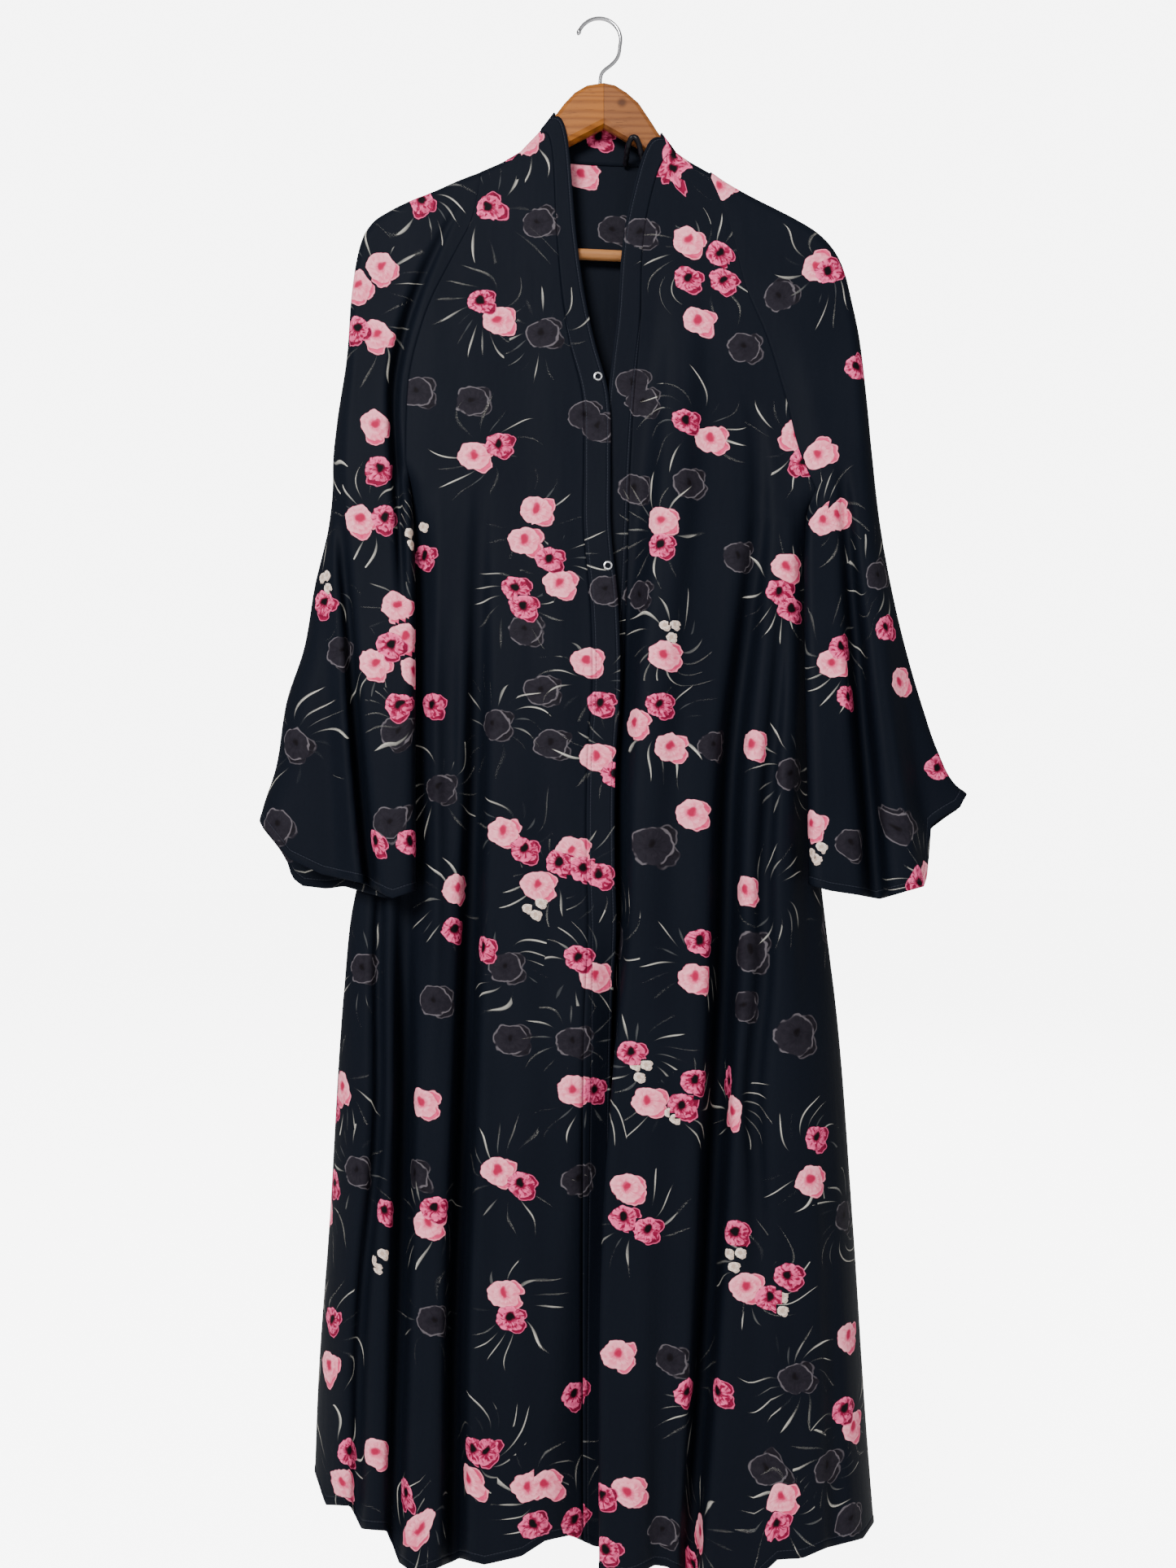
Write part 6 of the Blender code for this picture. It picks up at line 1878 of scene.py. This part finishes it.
def tube(name: str, points: Array, thick: Array, sides: int) -> Piece:
    """A closed round tube through points.

    Args:
        name: The object's name.
        points: Rows of x, y and z along its middle.
        thick: Its radius at each point.
        sides: How many sides it has.

    Returns:
        The new object.
    """
    ahead = np.gradient(points, axis=0)
    ahead /= np.linalg.norm(ahead, axis=1, keepdims=True)
    first = np.cross(ahead, (0.0, 1.0, 0.0))
    weak = np.linalg.norm(first, axis=1) < LEAST_CROSS
    first[weak] = np.cross(ahead[weak], (1.0, 0.0, 0.0))
    first /= np.linalg.norm(first, axis=1, keepdims=True)
    second = np.cross(ahead, first)
    turn = np.linspace(0, math.tau, sides, endpoint=False)
    ring = (np.cos(turn)[None, :, None] * first[:, None] + np.sin(turn)[None, :, None]
            * second[:, None]) * thick[:, None, None] + points[:, None]
    count = len(points)
    index = np.arange(count * sides).reshape(count, sides)
    beside = np.roll(index, -1, axis=1)
    faces = np.stack((index[:-1], beside[:-1], beside[1:], index[1:]), axis=2).reshape(-1, 4)
    mesh = bpy.data.meshes.new(name)
    mesh.from_pydata(ring.reshape(-1, 3).tolist(), [],
                     faces.tolist() + [index[0, ::-1].tolist(), index[-1].tolist()])
    mesh.shade_smooth()
    return put_in_scene(name, mesh)


# Camera, light and floor

@dataclass(frozen=True)
class SoftLight:
    """One soft area light: its place, where it aims, its width and its power."""

    name: str
    place: Point
    aim: Point
    size: float
    power: float

    def build(self) -> None:
        """Hang the light."""
        lamp = bpy.data.lights.new(self.name, "AREA")
        lamp.size = self.size
        lamp.energy = self.power
        stand = put_in_scene(self.name, lamp)
        stand.location = self.place
        toward = Vector(self.aim) - Vector(self.place)
        stand.rotation_euler = toward.to_track_quat("-Z", "Y").to_euler()


LIGHTS = (SoftLight("key", (-1.2, -2.8, 0.9), (0.0, 0.0, -0.7), 1.1, 188.0),
          SoftLight("fill", (2.2, -2.2, 0.2), (0.0, 0.0, -0.8), 2.2, 12.0),
          SoftLight("behind", (0.7, 2.7, 0.8), (0.0, 0.0, -0.7), 1.6, 95.0))


@dataclass
class Studio:
    """A pale floor, soft light and the camera at the photograph's angle."""

    lens: float = 28.0
    sensor: float = 36.0
    floor_down: float = 1.62
    floor_reach: float = 9.0
    floor_tone: float = 0.96
    floor_rough: float = 0.9
    sky_tone: float = 0.97
    ambient: float = 0.42
    backdrop: float = 7.00
    floor_glow: float = 6.20

    def build(self) -> None:
        """Set up everything that isn't part of the object."""
        camera = put_in_scene("camera", bpy.data.cameras.new("camera"))
        camera.data.lens = self.lens
        camera.data.sensor_width = self.sensor
        camera.location = (EYE_X, -EYE_DISTANCE, -EYE_DOWN)
        camera.rotation_euler = (math.radians(90), 0.0, 0.0)
        bpy.context.scene.camera = camera
        for light in LIGHTS:
            light.build()
        self.surround()
        self.floor()

    def surround(self) -> None:
        """An even pale world."""
        world = bpy.data.worlds.new("pale studio")
        world.use_nodes = True
        w = Wiring(world.node_tree)
        sky = world.node_tree.nodes["Background"]
        sky.inputs["Color"].default_value = (self.sky_tone, self.sky_tone, self.sky_tone, 1.0)
        seen = w.node("ShaderNodeLightPath").outputs["Is Camera Ray"]
        w.feed(sky.inputs["Strength"], w.math("MULTIPLY_ADD", seen, self.backdrop - self.ambient,
                                              self.ambient))
        bpy.context.scene.world = world

    def floor(self) -> None:
        """The plain floor under the garment."""
        mesh = bpy.data.meshes.new("floor")
        reach, tone = self.floor_reach, self.floor_tone
        mesh.from_pydata([(-reach, -reach, 0), (reach, -reach, 0), (reach, reach, 0),
                          (-reach, reach, 0)], [], [(0, 1, 2, 3)])
        plane = put_in_scene("floor", mesh)
        plane.location = (0.0, 0.0, -self.floor_down)
        material, w, shader = new_material("pale_floor")
        shader.inputs["Base Color"].default_value = (tone, tone, tone, 1.0)
        shader.inputs["Roughness"].default_value = self.floor_rough
        shader.inputs["Emission Color"].default_value = (1.0, 1.0, 1.0, 1.0)
        seen = w.node("ShaderNodeLightPath").outputs["Is Camera Ray"]
        w.feed(shader.inputs["Emission Strength"], w.times(seen, self.floor_glow))
        mesh.materials.append(material)


# Putting it together

HEM_STITCHES = (0.0078,)
BAND_STITCHES = (0.0030, 0.0225)
CHROME_WIRE = PlatedMetal("chrome_wire", (0.50, 0.50, 0.52), 0.16)
SNAP_STEEL = PlatedMetal("snap_steel", (0.78, 0.78, 0.80), 0.24)
DARK_GLUE = VarnishedWood("dark_glue", (0.040, 0.014, 0.005), (0.015, 0.006, 0.002))
# Both arms are one beech. The wearer's-left arm gets a darker, greyer copy of it as painted shade
# for its turn away from the light; its knot is its own.
WOODS = {
    "hanger_wood_right": VarnishedWood("warm_beech", (0.300, 0.098, 0.012),
                                       (0.120, 0.032, 0.003)),
    "hanger_wood_left": VarnishedWood("rosy_beech", (0.215, 0.076, 0.020),
                                      (0.095, 0.028, 0.007), (0.0217, -0.007, -0.0822)),
    "hanger_bar": VarnishedWood("pale_bar", (0.330, 0.140, 0.045), (0.220, 0.085, 0.025)),
}


@dataclass
class Abaya:
    """The whole garment on its hanger."""

    groups: PrintGroups = field(default_factory=PrintGroups)
    chart: PrintChart = field(default_factory=PrintChart)
    inks: PrintInks = field(default_factory=PrintInks)

    def patches(self) -> list[ClothPatch]:
        """Every cut piece of cloth."""
        made = []
        for hand, side in ((-1, "right"), (1, "left")):
            front = Front(hand, side)
            made += [front.panel(), front.band(), BellSleeve(hand, side).build()]
        back = Back()
        return made + [back.panel(), back.neckband()]

    def dress_cloth(self) -> None:
        patches = self.patches()
        self.chart.lay(patches)
        plain = PrintedCrepe("printed_crepe", self.inks, 2, HEM_STITCHES).build(self.groups)
        band = PrintedCrepe("printed_band", self.inks, 0, BAND_STITCHES).build(self.groups)
        for patch in patches:
            sheet = patch.build()
            sheet.data.materials.append(band if patch.slot.endswith("band") else plain)
            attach(sheet, "root")
            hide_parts(patch.node)
            width, length, area = patch.cut_size()
            LOG.info("%s: %.3f by %.3f m, %.3f m2", patch.name, width, length, area)

    def dress_hanger(self, nodes: dict[str, Piece]) -> None:
        """Finish the hanger, the loop and the snaps.

        Args:
            nodes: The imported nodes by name.
        """
        chrome, steel, hanger = CHROME_WIRE.build(), SNAP_STEEL.build(), Hanger()
        for node, wood in WOODS.items():
            self.repaint(nodes[node], wood.build(self.groups))
        for node in nodes:
            if node.startswith("snap_"):
                self.repaint(nodes[node], steel)
        glue = hanger.glue()
        glue.data.materials.append(DARK_GLUE.build(self.groups))
        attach(glue, "root")
        for piece, node, slot, material in (
                (hanger.hook(), "hanger_hook", "chrome_wire", chrome),
                (hanger.loop(), "hanger_loop", "navy_loop", SatinCord().build())):
            piece.data.materials.append(material)
            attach(piece, "root")
            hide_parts(node)
            LOG.info("%s stands for %s", piece.name, node)

    @staticmethod
    def repaint(piece: Piece, material: Material) -> None:
        """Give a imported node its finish."""
        for slot in piece.material_slots:
            slot.material = material


def main() -> None:
    """Dress the frame."""
    logging.basicConfig(level=logging.INFO)
    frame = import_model()
    Studio().build()
    abaya = Abaya()
    abaya.dress_cloth()
    abaya.dress_hanger(frame["nodes"])


if __name__ == "__main__":
    main()
